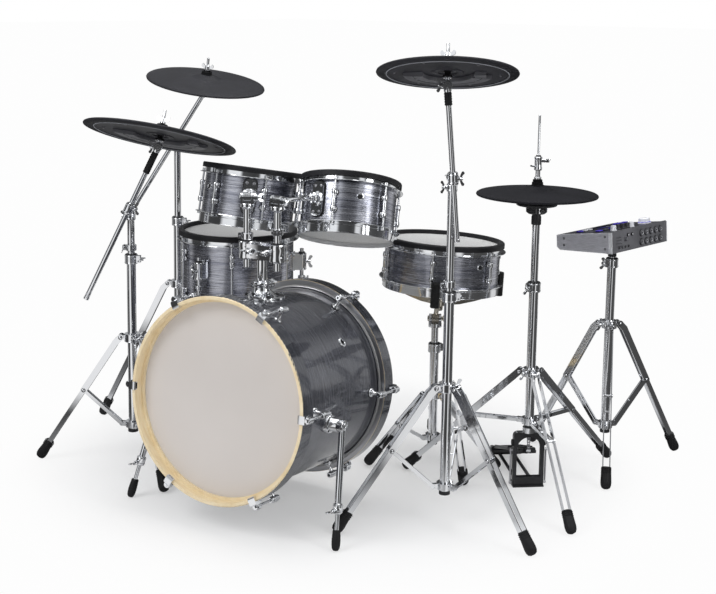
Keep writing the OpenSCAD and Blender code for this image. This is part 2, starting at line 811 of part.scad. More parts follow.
// A rubber boot on a leg's end, cut flat where it stands
module boot(s) {
    a = leg_foot(s);
    d = (a - leg_knee(s)) / norm(a - leg_knee(s));
    difference() {
        union() {
            translate([a[0], 0, a[1]]) rotate([0, 90 - atan2(d[1], d[0]), 0]) {
                translate([0, 0, 24 - boot_len]) cylinder(h = boot_len - 10, r = boot_r);
                translate([0, 0, 14]) sphere(r = boot_r);
            }
            translate([a[0] + 4, 0, 0]) cylinder(h = 12, r = boot_r);
        }
        translate([0, -60, -40]) cube([600, 120, 40]);
        for (e = [-1, 1]) translate([0, e * rail_gap / 2, 0]) {
            strap([leg_knee(s), a], rail_w + 2 * seat, strap_t + 2 * seat);
        }
        translate([a[0], 20, a[1]]) rotate([90, 0, 0]) cylinder(h = 40, r = rivet_r + seat);
    }
}

module rubber_feet() {
    color("dimgray") for (s = stands) kit() translate([s[0][0], s[0][1], 0]) {
        for (a = [0, 120, 240]) rotate(s[5] + a) boot(s);
    }
}

// The wing bolts of all sleeves and collars, of the tom holder and of the floor tom's leg blocks
module wing_bolts() {
    color("silver") kit() {
        for (s = stands) translate([s[0][0], s[0][1], 0]) rotate(s[5] + s[6]) {
            translate([sleeve_r, 0, s[4] - sleeve_h / 2]) rotate([0, 90, 0]) wing_bolt(4, seat);
            translate([collar_r, 0, s[2]]) rotate([0, 90, 0]) wing_bolt(5, seat);
        }
        for (e = [-1, 1]) translate([e * 22, holder_y - block_size[1] / 2, block_z + block_h / 2]) {
            rotate([90, 0, 0]) wing_bolt(6, seat);
        }
        for (a = floor_leg_turns) translate([floor_at[0], floor_at[1], leg_block_z + leg_block_h / 2]) {
            rotate(a) translate([big_r + floor_leg_off + 12, 0, 0]) rotate([0, 90, 0]) wing_bolt(5, seat);
        }
    }
}

// A boom stand's sliding tube: collar with its wing screw, neck, and the ratchet disc that carries the boom
module boom_post(s, clamp_z) {
    low = s[4] - insertion;
    neck = clamp_z - disc_r - gap;
    color("silver") kit() translate([s[0][0], s[0][1], 0]) difference() {
        union() {
            translate([0, 0, low]) cylinder(h = neck - low, r = post_r);
            translate([0, 0, neck - post_collar_h]) cylinder(h = post_collar_h, r = post_r + 3);
            translate([0, 0, neck - post_collar_h / 2]) rotate(boom_turn + 180) rotate([0, 90, 0]) {
                translate([0, 0, post_r + 2]) wing_bolt(5);
            }
            rotate(boom_turn) translate([-post_r, -disc_t / 2, neck - 1]) {
                cube([2 * post_r, disc_t, disc_r + 1]);
            }
            translate([0, 0, clamp_z]) rotate(boom_turn) rotate([90, 0, 0]) {
                translate([0, 0, -disc_t / 2]) cylinder(h = disc_t, r = disc_r);
            }
        }
        translate([0, 0, clamp_z]) rotate(boom_turn) rotate([90, 0, 0]) translate([0, 0, -30]) {
            cylinder(h = 60, r = bolt_r + fit);
        }
    }
}

// Points along a boom, in the kit's frame
boom_offset = disc_t / 2 + gap + 10 + clamp_r;
function boom_dir(b) = sin(b[0]) * side_dir + cos(b[0]) * [0, 0, 1];
function boom_centre(s, z) = [s[0][0], s[0][1], z] + boom_offset * front_dir;
function boom_low(s, z, b) = boom_centre(s, z) - b[1] * boom_dir(b);
function boom_high(s, z, b) = boom_centre(s, z) + b[2] * boom_dir(b);

// A boom: ratchet disc and bolt, clamp, tube with its grip, and the tilter with the pad's stem.
// The tilter's wing screw points to the viewer's left (-1) or right (1)
module boom(s, z, b, lean, wing) {
    c = boom_centre(s, z);
    high = boom_high(s, z, b);
    color("silver") kit() {
        translate([s[0][0], s[0][1], z]) rotate(boom_turn) rotate([90, 0, 0]) {
            translate([0, 0, disc_t / 2 + gap]) cylinder(h = 11, r = disc_r);
            translate([0, 0, -disc_t / 2 - 12]) cylinder(h = disc_t + 20, r = bolt_r);
            translate([0, 0, -disc_t / 2 - gap - 8]) cylinder(h = 8, r = 8);
            translate([-15, -2, -disc_t / 2 - gap - 16]) cube([30, 4, 10]);
        }
        bar(c - clamp_len / 2 * boom_dir(b), c + clamp_len / 2 * boom_dir(b), clamp_r);
        translate(c) rotate(boom_turn) rotate([0, 90, 0]) translate([0, 0, clamp_r - 1]) wing_bolt(5);
        bar(boom_low(s, z, b), high, boom_r);
        bar(boom_low(s, z, b), boom_low(s, z, b) + 6 * boom_dir(b), boom_r + 1);
        bar(high - 46 * boom_dir(b), high - 14 * boom_dir(b), boom_r + 2.5);
        // Tilter: knuckle, side screw and stem
        translate(high) rotate(boom_turn) rotate([90, 0, 0]) translate([0, 0, -9]) cylinder(h = 18, r = 11);
        translate(high) rotate(boom_turn) rotate([0, wing * 90, 0]) translate([0, 0, 10]) wing_bolt(8);
        translate(high) leaned(lean) {
            // The stem, and over the wing nut its thinner free end
            cylinder(h = pad_rise + 36, r = stem_base_r);
            translate([0, 0, pad_rise + 35]) cylinder(h = stem_end + 1, r = stem_r);
            translate([0, 0, pad_rise - 26]) cylinder(h = 8, r = 12);
            translate([0, 0, pad_rise]) intersection() {
                sphere(r = ball_r);
                translate([0, 0, -10]) cylinder(h = 20, r = ball_r + 1);
            }
            translate([0, 0, pad_rise - 20]) cylinder(h = 12, r = 7);
            translate([0, 0, pad_rise + 8]) cylinder(h = 16, r = 5.5);
            translate([0, 0, pad_rise + 22]) cylinder(h = 14, r = 7.5);
            translate([-16, -2, pad_rise + 26]) cube([32, 4, 10]);
        }
    }
}

module ride_post() { boom_post(ride_stand, ride_clamp_z); }
module left_stand_post() { boom_post(left_stand, left_clamp_z); }
module back_post() { boom_post(back_stand, back_clamp_z); }
module ride_boom() { boom(ride_stand, ride_clamp_z, ride_boom_set, ride_lean, -1); }
module left_boom() { boom(left_stand, left_clamp_z, left_boom_set, left_pad_lean, -1); }
module back_boom() { boom(back_stand, back_clamp_z, back_boom_set, back_lean, 1); }

// A pad's section: rubber playing skin over a tray, bell in the middle, hollow for the ball seat
module pad_body(r) {
    drop = r * 0.055;
    difference() {
        rotate_extrude() polygon([
            [0, -8], [34, -8], [38, -pad_t - 1], [r * 0.55, -pad_t - drop * 0.5],
            [r * 0.84, -pad_t - drop * 0.75 - 3], [r - 14, -pad_t - drop - 1], [r - 4, -pad_t - drop + 1],
            [r, -drop - pad_t + 5], [r - 2, -drop - 1.5], [r - 8, -drop],
            [r * 0.6, -drop * 0.35], [bell_r + 4, 0], [bell_r - 4, 3], [bell_r * 0.62, bell_h - 4],
            [bell_r * 0.4, bell_h - 2.5], [0, bell_h - 2.5]]);
        sphere(r = ball_r + gap);
        cylinder(h = 30, r = 9.5);
        translate([0, 0, -30]) cylinder(h = 30, r = 9.5);
    }
    // Felt on the bell
    translate([0, 0, bell_h - 2.5 + seat]) pipe(16, 9.5, 9);
}

module ride_pad() {
    color("dimgray") kit() translate(boom_high(ride_stand, ride_clamp_z, ride_boom_set)) leaned(ride_lean) {
        translate([0, 0, pad_rise]) pad_body(ride_pad_r);
    }
}

module left_pad() {
    color("dimgray") kit() translate(boom_high(left_stand, left_clamp_z, left_boom_set)) leaned(left_pad_lean) {
        translate([0, 0, pad_rise]) pad_body(left_pad_r);
    }
}

module back_pad() {
    color("dimgray") kit() translate(boom_high(back_stand, back_clamp_z, back_boom_set)) leaned(back_lean) {
        translate([0, 0, pad_rise]) pad_body(back_pad_r);
    }
}

// The hi-hat's sliding tube with the position sensor that sits under the pad
module hat_post() {
    color("dimgray") kit() translate([hat_stand[0][0], hat_stand[0][1], 0]) {
        low = hat_stand[4] - insertion;
        translate([0, 0, low]) pipe(post_r, stem_r + gap, seat_z - 20 - low);
        translate([0, 0, seat_z - 24]) pipe(post_r + 3, stem_r + gap, 24);
        difference() {
            rotate_extrude() polygon([
                [0, seat_z], [hat_tilt_r - 2, seat_z], [hat_tilt_r, seat_z + 4], [hat_tilt_r, seat_z + 22],
                [52, seat_z + 24], [52, seat_z + 29], [49, seat_z + 31], [12, seat_z + 31],
                [12, seat_z + 34], [0, seat_z + 34]]);
            translate([0, 0, seat_z - 10]) cylinder(h = 60, r = stem_r + gap);
        }
    }
}

// The pull rod: chain at the bottom, rod, clutch with its bolts and nuts
module hat_rod() {
    chain_z = toe_z + 12.7;
    color("silver") kit() translate([hat_stand[0][0], hat_stand[0][1], 0]) {
        rod_low = hat_stand[3] - 44;
        rod_mid = hat_pad_z + clutch_top;
        translate([0, 0, rod_low]) cylinder(h = rod_mid - rod_low, r = stem_r);
        translate([0, 0, rod_mid - 1]) cylinder(h = rod_top - rod_mid + 1, r = rod_end_r);
        translate([0, 0, hat_stand[3] - 52]) cylinder(h = 16, r = coupler_r);
        // Chain links, each turned a quarter from the last
        for (k = [0 : 3]) translate([0, 0, chain_z + k * 9]) rotate([0, 0, heel_turn + 90 * (k % 2)]) {
            rotate([90, 0, 0]) linear_extrude(2.2, center = true) difference() {
                strap_outline([[0, -3], [0, 3]], 7);
                square([2.4, 6], center = true);
            }
        }
        translate([0, 0, hat_pad_z]) {
            intersection() {
                sphere(r = ball_r);
                translate([0, 0, -10]) cylinder(h = 20, r = ball_r + 1);
            }
            translate([0, 0, -14]) cylinder(h = 6, r = 6.5);
            translate([0, 0, 8]) cylinder(h = 52, r = 6);
            translate([0, 0, 24]) cylinder(h = 8, r = 9);
            translate([0, 0, clutch_top - 34]) cylinder(h = 34, r = 10);
            for (e = [-1, 1]) translate([0, 0, 66]) rotate(boom_turn) {
                rotate([0, e * 90, 0]) cylinder(h = 24, r = bolt_r);
                translate([e * 20 - 3, -2, -8]) cube([6, 4, 16]);
            }
        }
    }
}

module hat_pad() {
    color("dimgray") kit() translate([hat_stand[0][0], hat_stand[0][1], hat_pad_z]) pad_body(hat_pad_r);
}

// The footboard: tapered plate with ribs and an open slot, hinged at its heel
module footboard() {
    rise = toe_z - 16;
    length = norm([heel_dist - 10, rise]);
    color("silver") kit() translate([hat_stand[0][0], hat_stand[0][1], 0]) rotate(heel_turn) {
        translate([heel_dist, 0, 16]) {
            rotate([90, 0, 0]) translate([0, 0, -board_w / 2 - 8]) cylinder(h = board_w + 16, r = 3);
            rotate([90, 0, 0]) translate([0, 0, -board_w / 2]) cylinder(h = board_w, r = 7);
            rotate([0, 180 + atan2(rise, heel_dist - 10), 0]) mirror([0, 0, 1]) {
                linear_extrude(board_t) difference() {
                    polygon([
                        [0, -board_w / 2], [0, board_w / 2], [length * 0.7, board_w / 2],
                        [length, 22], [length, -22], [length * 0.7, -board_w / 2]]);
                    for (k = [1 : 4]) translate([length * 0.12 * k + 24, -16]) square([10, 32]);
                }
                for (y = [-26, 26]) translate([20, y - 2, board_t - 1]) cube([length * 0.66, 4, 4]);
            }
        }
        // Yoke on the toe that the chain pulls
        translate([14, 24, toe_z - 4]) rotate([90, 0, 0]) cylinder(h = 48, r = 5);
        translate([0, 6, toe_z + 2]) rotate([90, 0, 0]) cylinder(h = 12, r = 3.4);
        translate([0, -6, toe_z - 4]) cube([14, 12, 8]);
    }
}

// The snare stand's sliding tube with the fork that the basket tilts in
module snare_post() {
    color("silver") kit() translate([snare_stand[0][0], snare_stand[0][1], 0]) {
        base = snare_hub_z - hub_r - gap - 10;
        low = snare_stand[4] - insertion - 10;
        translate([0, 0, low]) cylinder(h = base + 1 - low, r = post_r);
        translate([0, 0, base]) cylinder(h = 10, r = 18);
        rotate(boom_turn + 90) difference() {
            for (e = [-1, 1]) translate([0, e * (hub_w / 2 + gap + ear_t / 2), 0]) {
                strap([[0, snare_hub_z - hub_r - 6], [0, snare_hub_z]], 2 * hub_r + 2, ear_t);
            }
            translate([0, 40, snare_hub_z]) rotate([90, 0, 0]) cylinder(h = 80, r = pin_r + fit);
            translate([-20, -30, base - 30]) cube([40, 60, 30]);
        }
    }
}

// The basket: pinned hub, three arms and their rubber-lined claws under the snare's lower hoop
module snare_basket() {
    bottom = snare_rim_at + lean_point([0, 0, -snare_depth], snare_lean);
    hub = [snare_stand[0][0], snare_stand[0][1], snare_hub_z];
    grip_r = big_r + 1 + hoop_t + seat;
    color("silver") kit() {
        translate(hub) rotate(boom_turn + 90) {
            rotate([90, 0, 0]) translate([0, 0, -hub_w / 2]) cylinder(h = hub_w, r = hub_r);
            rotate([90, 0, 0]) translate([0, 0, -hinge_w / 2]) cylinder(h = hinge_w, r = pin_r);
        }
        bar(hub, bottom + lean_point([0, 0, -34], snare_lean), basket_neck_r);
        translate(bottom) leaned(snare_lean) {
            translate([0, 0, -46]) cylinder(h = 12, r = 20);
            translate([0, 0, -34]) cylinder(h = 26, r = 15);
            for (k = [0 : basket_arms - 1]) rotate(k * 360 / basket_arms + basket_turn) {
                strap([[12, -40], [60, -36], [big_r - 30, -22], [grip_r + 1, -10]], 9, 8);
                // Claw: a ledge under the hoop and a lip outside it
                translate([grip_r - 14, -11, -9]) cube([22, 22, 9 - seat]);
                difference() {
                    translate([0, 0, -9]) cylinder(h = 24, r = grip_r + 7);
                    translate([0, 0, -10]) cylinder(h = 30, r = grip_r);
                    translate([-300, -300, -20]) cube([300 + grip_r * 0.9, 600, 50]);
                    for (e = [-1, 1]) translate([grip_r, e * 61, 0]) cube([60, 100, 60], center = true);
                }
            }
        }
    }
}

// The module's sliding tube and the tongue that its case tilts on
module module_post() {
    low = module_stand[4] - insertion;
    color("silver") kit() translate([module_stand[0][0], module_stand[0][1], 0]) {
        translate([0, 0, low]) cylinder(h = neck_z - low, r = post_r);
        translate([0, 0, module_stand[4] + 6]) cylinder(h = neck_z - module_stand[4] - 6, r = post_r + 2);
        rotate(case_turn - 90) difference() {
            strap([[0, tongue_z - 6], [0, tongue_z]], 16, tongue_t);
            translate([0, 30, tongue_z]) rotate([90, 0, 0]) cylinder(h = 60, r = bolt_r + fit);
            translate([-30, -30, tongue_z - 50]) cube([60, 60, 40]);
        }
    }
}

module at_case() {
    kit() translate([module_stand[0][0], module_stand[0][1], module_z]) rotate(case_turn) {
        rotate([case_tilt, 0, 0]) children();
    }
}

// The module's wedge-shaped case, with the recess of its screen, and the hanger that tilts on the stand
module module_case() {
    color("dimgray") {
        at_case() difference() {
            rotate([90, 0, 90]) translate([0, 0, -case_w / 2]) linear_extrude(case_w) polygon([
                [-case_d / 2, 0], [case_d / 2 - 10, 0], [case_d / 2, 8], [case_d / 2, case_low_h],
                [case_d / 2 - 18, case_low_h + 3], [-case_d / 2, case_h]]);
            // Screen recess
            translate([0, 10, 0]) rotate([-top_slope(), 0, 0]) translate([-38, 0, case_top(10) - 3]) {
                cube([76, 34, 20]);
            }
            // Jack sockets in two rows, and a slot above them
            for (k = [0 : 4]) for (row = [0, 1]) translate([jack_x(k), -case_d / 2, jack_row(row)]) {
                rotate([-90, 0, 0]) translate([0, 0, -1]) cylinder(h = 19, r = 8.2);
            }
            translate([-case_w / 2 + 58, -case_d / 2 - 1, 26]) cube([16, 10, 12]);
            for (k = [0 : 3]) translate([-case_w / 2 + 18, -case_d / 2 - 1, 14 + 8 * k]) cube([28, 3, 3]);
        }
        kit() translate([module_stand[0][0], module_stand[0][1], tongue_z]) rotate(case_turn - 90) {
            for (e = [-1, 1]) translate([0, e * (tongue_t / 2 + gap + 2.5), 0]) {
                strap([[0, 0], [0, 14]], 16, 5);
            }
            rotate([90, 0, 0]) translate([0, 0, -22]) cylinder(h = 44, r = bolt_r);
            translate([0, -15, 0]) rotate([90, 0, 0]) cylinder(h = 8, r = 8);
            translate([-13, -30, -2]) cube([26, 8, 4]);
        }
    }
}

function top_slope() = atan((case_h - case_low_h - 3) / (case_d - 18));
function case_top(y) = case_h - (y + case_d / 2) * tan(top_slope());
function jack_x(k) = 6 + k * 24;
function jack_row(row) = 15 + row * 24;

// Knobs, buttons and the screen's glass, all on the top plate
module module_controls() {
    slope = -top_slope();
    color("whitesmoke") at_case() {
        for (k = [0 : 4]) translate([-88 + k * 22, -60, case_top(-60)]) rotate([slope, 0, 0]) {
            translate([0, 0, seat]) cylinder(h = 3, r = knob_r + 1.5);
            translate([0, 0, seat]) cylinder(h = 12, r = knob_r);
        }
        translate([92, -44, case_top(-44)]) rotate([slope, 0, 0]) translate([0, 0, seat]) {
            cylinder(h = 4, r = 18);
            cylinder(h = 14, r = 15);
        }
        for (k = [0 : 5]) translate([-104 + k * 30, -26, case_top(-26)]) rotate([slope, 0, 0]) {
            translate([-10, -6, seat]) cube([20, 12, 4]);
        }
        for (k = [0 : 2]) for (e = [-1, 1]) translate([e * (66 + 22 * k), 30, case_top(30)]) {
            rotate([slope, 0, 0]) translate([-7, -7, seat]) cube([14, 14, 4]);
        }
        translate([0, 10, 0]) rotate([slope, 0, 0]) translate([-37, 1, case_top(10) - 3 + seat]) {
            cube([74, 32, 2]);
        }
    }
}

// The jack sockets: bored bodies with a flanged nut outside
module module_jacks() {
    color("silver") at_case() for (k = [0 : 4]) for (row = [0, 1]) {
        translate([jack_x(k), -case_d / 2, jack_row(row)]) rotate([-90, 0, 0]) difference() {
            union() {
                translate([0, 0, -2.5]) cylinder(h = 2.5 - seat, r = 9);
                translate([0, 0, -1]) cylinder(h = 18, r = 8);
            }
            translate([0, 0, -5]) cylinder(h = 20, r = jack_r);
        }
    }
}

bass_shell();
bass_front_hoop();
bass_rear_hoop();
bass_front_head();
bass_rear_head();
bass_lugs();
bass_claws();
tom_mount();
left_spur();
right_spur();
left_post();
right_post();
left_arm();
right_arm();
left_tom_shell();
left_tom_heads();
left_tom_rim();
left_tom_metal();
right_tom_shell();
right_tom_heads();
right_tom_rim();
right_tom_metal();
floor_tom_shell();
floor_tom_heads();
floor_tom_rim();
floor_tom_metal();
floor_leg_a();
floor_leg_b();
floor_leg_c();
snare_shell();
snare_heads();
snare_rim();
snare_metal();
snare_basket();
snare_post();
ride_tripod();
left_tripod();
back_tripod();
hat_tripod();
module_tripod();
snare_tripod();
rubber_feet();
wing_bolts();
ride_post();
ride_boom();
ride_pad();
left_stand_post();
left_boom();
left_pad();
back_post();
back_boom();
back_pad();
hat_post();
hat_rod();
hat_pad();
footboard();
module_post();
module_case();
module_controls();
module_jacks();
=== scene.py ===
import math

import bmesh
import bpy
from mathutils import Matrix, Vector


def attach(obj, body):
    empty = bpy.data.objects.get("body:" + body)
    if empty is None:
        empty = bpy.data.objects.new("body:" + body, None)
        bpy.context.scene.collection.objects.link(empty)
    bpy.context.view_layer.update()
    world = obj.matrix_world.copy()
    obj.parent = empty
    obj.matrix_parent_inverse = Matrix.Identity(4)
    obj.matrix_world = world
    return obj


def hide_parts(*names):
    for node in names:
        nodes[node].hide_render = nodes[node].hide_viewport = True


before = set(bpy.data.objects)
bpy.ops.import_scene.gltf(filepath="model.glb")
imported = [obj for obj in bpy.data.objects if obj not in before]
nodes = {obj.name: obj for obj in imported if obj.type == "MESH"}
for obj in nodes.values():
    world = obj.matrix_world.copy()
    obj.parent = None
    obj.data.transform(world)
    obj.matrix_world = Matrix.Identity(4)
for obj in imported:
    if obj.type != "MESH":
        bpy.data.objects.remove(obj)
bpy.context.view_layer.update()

CENTRE = Vector((-33.8, 579.0, 0.0))


def place(x, y, z):
    """A point of the construction frame, in the row frame in metres."""
    return (Vector((x, y, z)) - CENTRE) / 1000


# ---------------------------------------------------------------- camera
camera = bpy.data.objects.new("camera", bpy.data.cameras.new("camera"))
bpy.context.scene.collection.objects.link(camera)
bpy.context.scene.camera = camera
camera.location = place(1826, -2416, 1263)
camera.rotation_mode = "QUATERNION"
camera.rotation_quaternion = (
    Matrix.Rotation(math.radians(30.8), 3, "Z")
    @ Matrix.Rotation(math.radians(90 - 8.59), 3, "X")
    @ Matrix.Rotation(math.radians(0.82), 3, "Z")
).to_quaternion()
camera.data.lens = 66.72
camera.data.sensor_width = 36
camera.data.shift_y = -0.139
camera.data.clip_end = 100


# ---------------------------------------------------------------- materials
class Mat:
    """A small helper around one node tree."""

    def __init__(self, name, color, rough, metal=0.0, **values):
        self.mat = bpy.data.materials.new(name)
        self.mat.use_nodes = True
        self.tree = self.mat.node_tree
        self.shader = self.tree.nodes["Principled BSDF"]
        self.set("Base Color", (*color, 1))
        self.set("Roughness", rough)
        self.set("Metallic", metal)
        for key, value in values.items():
            self.set(key.replace("_", " ").title().replace("Ior", "IOR"), value)

    def set(self, socket, value):
        self.shader.inputs[socket].default_value = value

    def node(self, kind, **values):
        made = self.tree.nodes.new(kind)
        for key, value in values.items():
            setattr(made, key, value)
        return made

    def link(self, a, b):
        self.tree.links.new(a, b)

    def coords(self, origin=(0, 0, 0), turn=None, scale=(1, 1, 1)):
        """Object coordinates moved into a piece's own frame and then scaled."""
        source = self.node("ShaderNodeTexCoord").outputs["Object"]
        inverse = (turn or Matrix.Identity(3)).inverted()
        first = self.node("ShaderNodeMapping")
        first.inputs["Rotation"].default_value = inverse.to_euler("XYZ")
        first.inputs["Location"].default_value = -(inverse @ Vector(origin))
        self.link(source, first.inputs["Vector"])
        second = self.node("ShaderNodeMapping")
        second.inputs["Scale"].default_value = scale
        self.link(first.outputs["Vector"], second.inputs["Vector"])
        return second.outputs["Vector"]

    def noise(self, vector, scale=1.0, detail=3.0, rough=0.5):
        made = self.node("ShaderNodeTexNoise")
        made.inputs["Scale"].default_value = scale
        made.inputs["Detail"].default_value = detail
        made.inputs["Roughness"].default_value = rough
        self.link(vector, made.inputs["Vector"])
        return made.outputs["Fac"]

    def ramp(self, fac, stops):
        made = self.node("ShaderNodeValToRGB")
        while len(made.color_ramp.elements) < len(stops):
            made.color_ramp.elements.new(0.5)
        for element, (pos, color) in zip(made.color_ramp.elements, stops):
            element.position = pos
            element.color = (*color, 1) if len(color) == 3 else color
        self.link(fac, made.inputs["Fac"])
        return made.outputs["Color"]

    def span(self, fac, low, high):
        made = self.node("ShaderNodeMapRange")
        made.inputs["To Min"].default_value = low
        made.inputs["To Max"].default_value = high
        self.link(fac, made.inputs["Value"])
        return made.outputs["Result"]

    def bump(self, height, strength, distance):
        made = self.node("ShaderNodeBump")
        made.inputs["Strength"].default_value = strength
        made.inputs["Distance"].default_value = distance
        self.link(height, made.inputs["Height"])
        self.link(made.outputs["Normal"], self.shader.inputs["Normal"])

    def mix(self, a, b, how="MULTIPLY", amount=1.0):
        made = self.node("ShaderNodeMix", data_type="RGBA", blend_type=how)
        made.inputs[0].default_value = amount
        self.link(a, made.inputs[6])
        self.link(b, made.inputs[7])
        return made.outputs[2]


def leaned(angle, toward):
    """The turn that leans +Z by an angle toward a direction."""
    spin = Matrix.Rotation(math.radians(toward), 3, "Z")
    return spin @ Matrix.Rotation(math.radians(angle), 3, "Y") @ spin.inverted()


def wrap(name, origin, turn, dark, light, coat=0.5, metal=0.9):
    """Brushed steel-grey drum wrap: streaks run round the drum's axis."""
    m = Mat(name, light, 0.3, metal, coat_weight=coat, coat_roughness=0.05)
    fine = m.noise(m.coords(origin, turn, (14, 14, 700)), 1.0, 4, 0.7)
    broad = m.noise(m.coords(origin, turn, (5, 5, 130)), 1.0, 3, 0.6)
    a = m.ramp(fine, [(0.34, dark), (0.5, [(x + 2 * y) / 3 for x, y in zip(dark, light)]), (0.66, light)])
    b = m.ramp(broad, [(0.32, (0.6, 0.61, 0.66)), (0.62, (1, 1, 1))])
    m.link(m.mix(a, b), m.shader.inputs["Base Color"])
    m.link(m.span(fine, 0.14, 0.36), m.shader.inputs["Roughness"])
    m.bump(fine, 0.1, 0.0003)
    return m.mat


def chrome_like(name, color, rough, spread=0.05):
    m = Mat(name, color, rough, 1.0)
    smear = m.noise(m.coords(scale=(35, 35, 35)), 1.0, 4)
    m.link(m.span(smear, rough, rough + spread), m.shader.inputs["Roughness"])
    m.bump(m.noise(m.coords(scale=(60, 60, 60)), 1.0, 2), 0.04, 0.0005)
    return m.mat


def rubber(name, color, rough, grain=900, strength=0.25, shine=0.2):
    m = Mat(name, color, rough, 0.0, specular_ior_level=shine)
    fine = m.noise(m.coords(scale=(grain, grain, grain)), 1.0, 2)
    broad = m.noise(m.coords(scale=(14, 14, 14)), 1.0, 4)
    m.link(
        m.ramp(broad, [(0.3, [c * 0.78 for c in color]), (0.7, [c * 1.3 for c in color])]),
        m.shader.inputs["Base Color"],
    )
    m.link(m.span(broad, rough - 0.06, rough + 0.08), m.shader.inputs["Roughness"])
    m.bump(fine, strength, 0.0003)
    return m.mat


def brushed(name, color, rough, metal, turn, scale):
    """Metal or lacquer with fine lines along one direction of its own frame."""
    m = Mat(name, color, rough, metal)
    lines = m.noise(m.coords((0, 0, 0), turn, scale), 1.0, 4, 0.6)
    m.link(m.ramp(lines, [(0.3, [c * 0.75 for c in color]), (0.7, [c * 1.2 for c in color])]), m.shader.inputs["Base Color"])
    m.bump(lines, 0.12, 0.0002)
    return m.mat


def mesh_cloth(name, origin, turn):
    m = Mat(name, (0.74, 0.74, 0.73), 0.75, 0.0, sheen_weight=0.3)
    waves = []
    for axis in ("X", "Y"):
        w = m.node("ShaderNodeTexWave", bands_direction=axis)
        w.inputs["Scale"].default_value = 1
        m.link(m.coords(origin, turn, (260, 260, 260)), w.inputs["Vector"])
        waves.append(w.outputs["Color"])
    weave = m.mix(*waves, how="MULTIPLY")
    m.link(
        m.ramp(weave, [(0.0, (0.52, 0.52, 0.52)), (0.5, (0.7, 0.7, 0.69))]),
        m.shader.inputs["Base Color"],
    )
    m.bump(weave, 0.3, 0.0004)
    return m.mat


def maple(name, origin, turn):
    m = Mat(name, (0.74, 0.54, 0.28), 0.42, 0.0, coat_weight=0.2, coat_roughness=0.2)
    grain = m.noise(m.coords(origin, turn, (26, 26, 190)), 1.0, 5, 0.6)
    broad = m.noise(m.coords(origin, turn, (7, 7, 12)), 1.0, 3)
    a = m.ramp(grain, [(0.3, (0.84, 0.67, 0.4)), (0.52, (0.94, 0.79, 0.53)), (0.7, (0.96, 0.84, 0.61))])
    b = m.ramp(broad, [(0.3, (0.93, 0.91, 0.88)), (0.7, (1, 1, 1))])
    m.link(m.mix(a, b), m.shader.inputs["Base Color"])
    m.bump(grain, 0.1, 0.0004)
    return m.mat


def film(name, origin):
    m = Mat(name, (0.69, 0.645, 0.615), 0.36, 0.0, coat_weight=0.1, coat_roughness=0.3, specular_ior_level=0.3)
    broad = m.noise(m.coords(origin, None, (3, 3, 3)), 1.0, 3)
    m.link(
        m.ramp(broad, [(0.3, (0.665, 0.62, 0.59)), (0.7, (0.715, 0.67, 0.64))]),
        m.shader.inputs["Base Color"],
    )
    m.bump(m.noise(m.coords(scale=(600, 600, 600)), 1.0, 2), 0.05, 0.0002)
    return m.mat


BASS_TURN = Matrix.Rotation(math.radians(-4.1), 3, "X") @ Matrix.Rotation(math.radians(-90), 3, "X")
BASS_AT = place(0, 0, 318)
# Each drum: centre of its rim, its turn, shell radius, depth, first lug, lugs' heights, lug length, socket hole
DRUMS = {
    "left_tom": ((-198, 435, 813), leaned(10.3, 80.5), 121, 156, 262, (-78,), 42, 245),
    "right_tom": ((71, 493, 795), leaned(19.4, 107), 121, 156, 284, (-78,), 42, 314),
    "floor_tom": ((-348, 574, 617), leaned(0, 0), 156, 240, 0, (-66, -174), 18, 254),
    "snare": ((193, 788, 612), leaned(3.9, 67.6), 156, 140, 288, (-70,), 42, 337),
}
DRUM_BODY = {"left_tom": "left_tom", "right_tom": "right_tom", "floor_tom": "kit_base", "snare": "snare"}
DARK, LIGHT = (0.05, 0.053, 0.07), (0.62, 0.63, 0.69)
CASE_TURN = Matrix.Rotation(math.radians(77.7), 3, "Z") @ Matrix.Rotation(math.radians(-4), 3, "X")

chrome = chrome_like("chrome", (0.78, 0.79, 0.81), 0.05)
warm_chrome = chrome_like("warm_chrome", (0.6, 0.56, 0.49), 0.12)
steel = chrome_like("steel", (0.5, 0.5, 0.52), 0.26, 0.1)
knurled = chrome_like("knurled", (0.3, 0.3, 0.32), 0.38, 0.1)
black_metal = rubber("black_metal", (0.016, 0.016, 0.018), 0.36, 300, 0.1, 0.45)
black_gloss = rubber("black_gloss", (0.018, 0.018, 0.024), 0.22, 300, 0.04, 0.5)
black_rubber = rubber("black_rubber", (0.014, 0.014, 0.015), 0.55)
felt = rubber("felt", (0.012, 0.012, 0.013), 0.9, 1500, 0.5, 0.1)
# The ride, left and back pads' rubber is the hat pad's rubber with a lighter colour: the extra lightness is painted
# sheen for the gloss and glare that these tilted pads catch.
pad_rubber = rubber("pad_rubber", (0.018, 0.018, 0.022), 0.56, 1100, 0.2, 0.2)
hat_rubber = rubber("hat_rubber", (0.011, 0.011, 0.014), 0.62, 1100, 0.2, 0.1)
pale_ring = rubber("pale_ring", (0.3, 0.31, 0.34), 0.4, 600, 0.05, 0.4)
rim_rubber = rubber("rim_rubber", (0.016, 0.016, 0.018), 0.5)
nylon = rubber("nylon", (0.02, 0.02, 0.022), 0.45, 500, 0.05, 0.35)
wood = maple("maple", BASS_AT, BASS_TURN)
bass_film = film("bass_film", BASS_AT)
hoop_wrap = wrap("hoop_wrap", BASS_AT, BASS_TURN, (0.02, 0.021, 0.027), (0.12, 0.125, 0.145), 0.9, 0.5)
bass_wrap = wrap("bass_wrap", BASS_AT, BASS_TURN, (0.026, 0.027, 0.034), (0.16, 0.165, 0.19), 0.9, 0.5)
case_cheek = brushed("case_cheek", (0.52, 0.52, 0.565), 0.42, 0.3, CASE_TURN, (60, 60, 900))
case_dark = rubber("case_dark", (0.1, 0.1, 0.11), 0.4, 700, 0.2, 0.4)
case_top = rubber("case_top", (0.025, 0.025, 0.032), 0.35, 500, 0.1, 0.4)
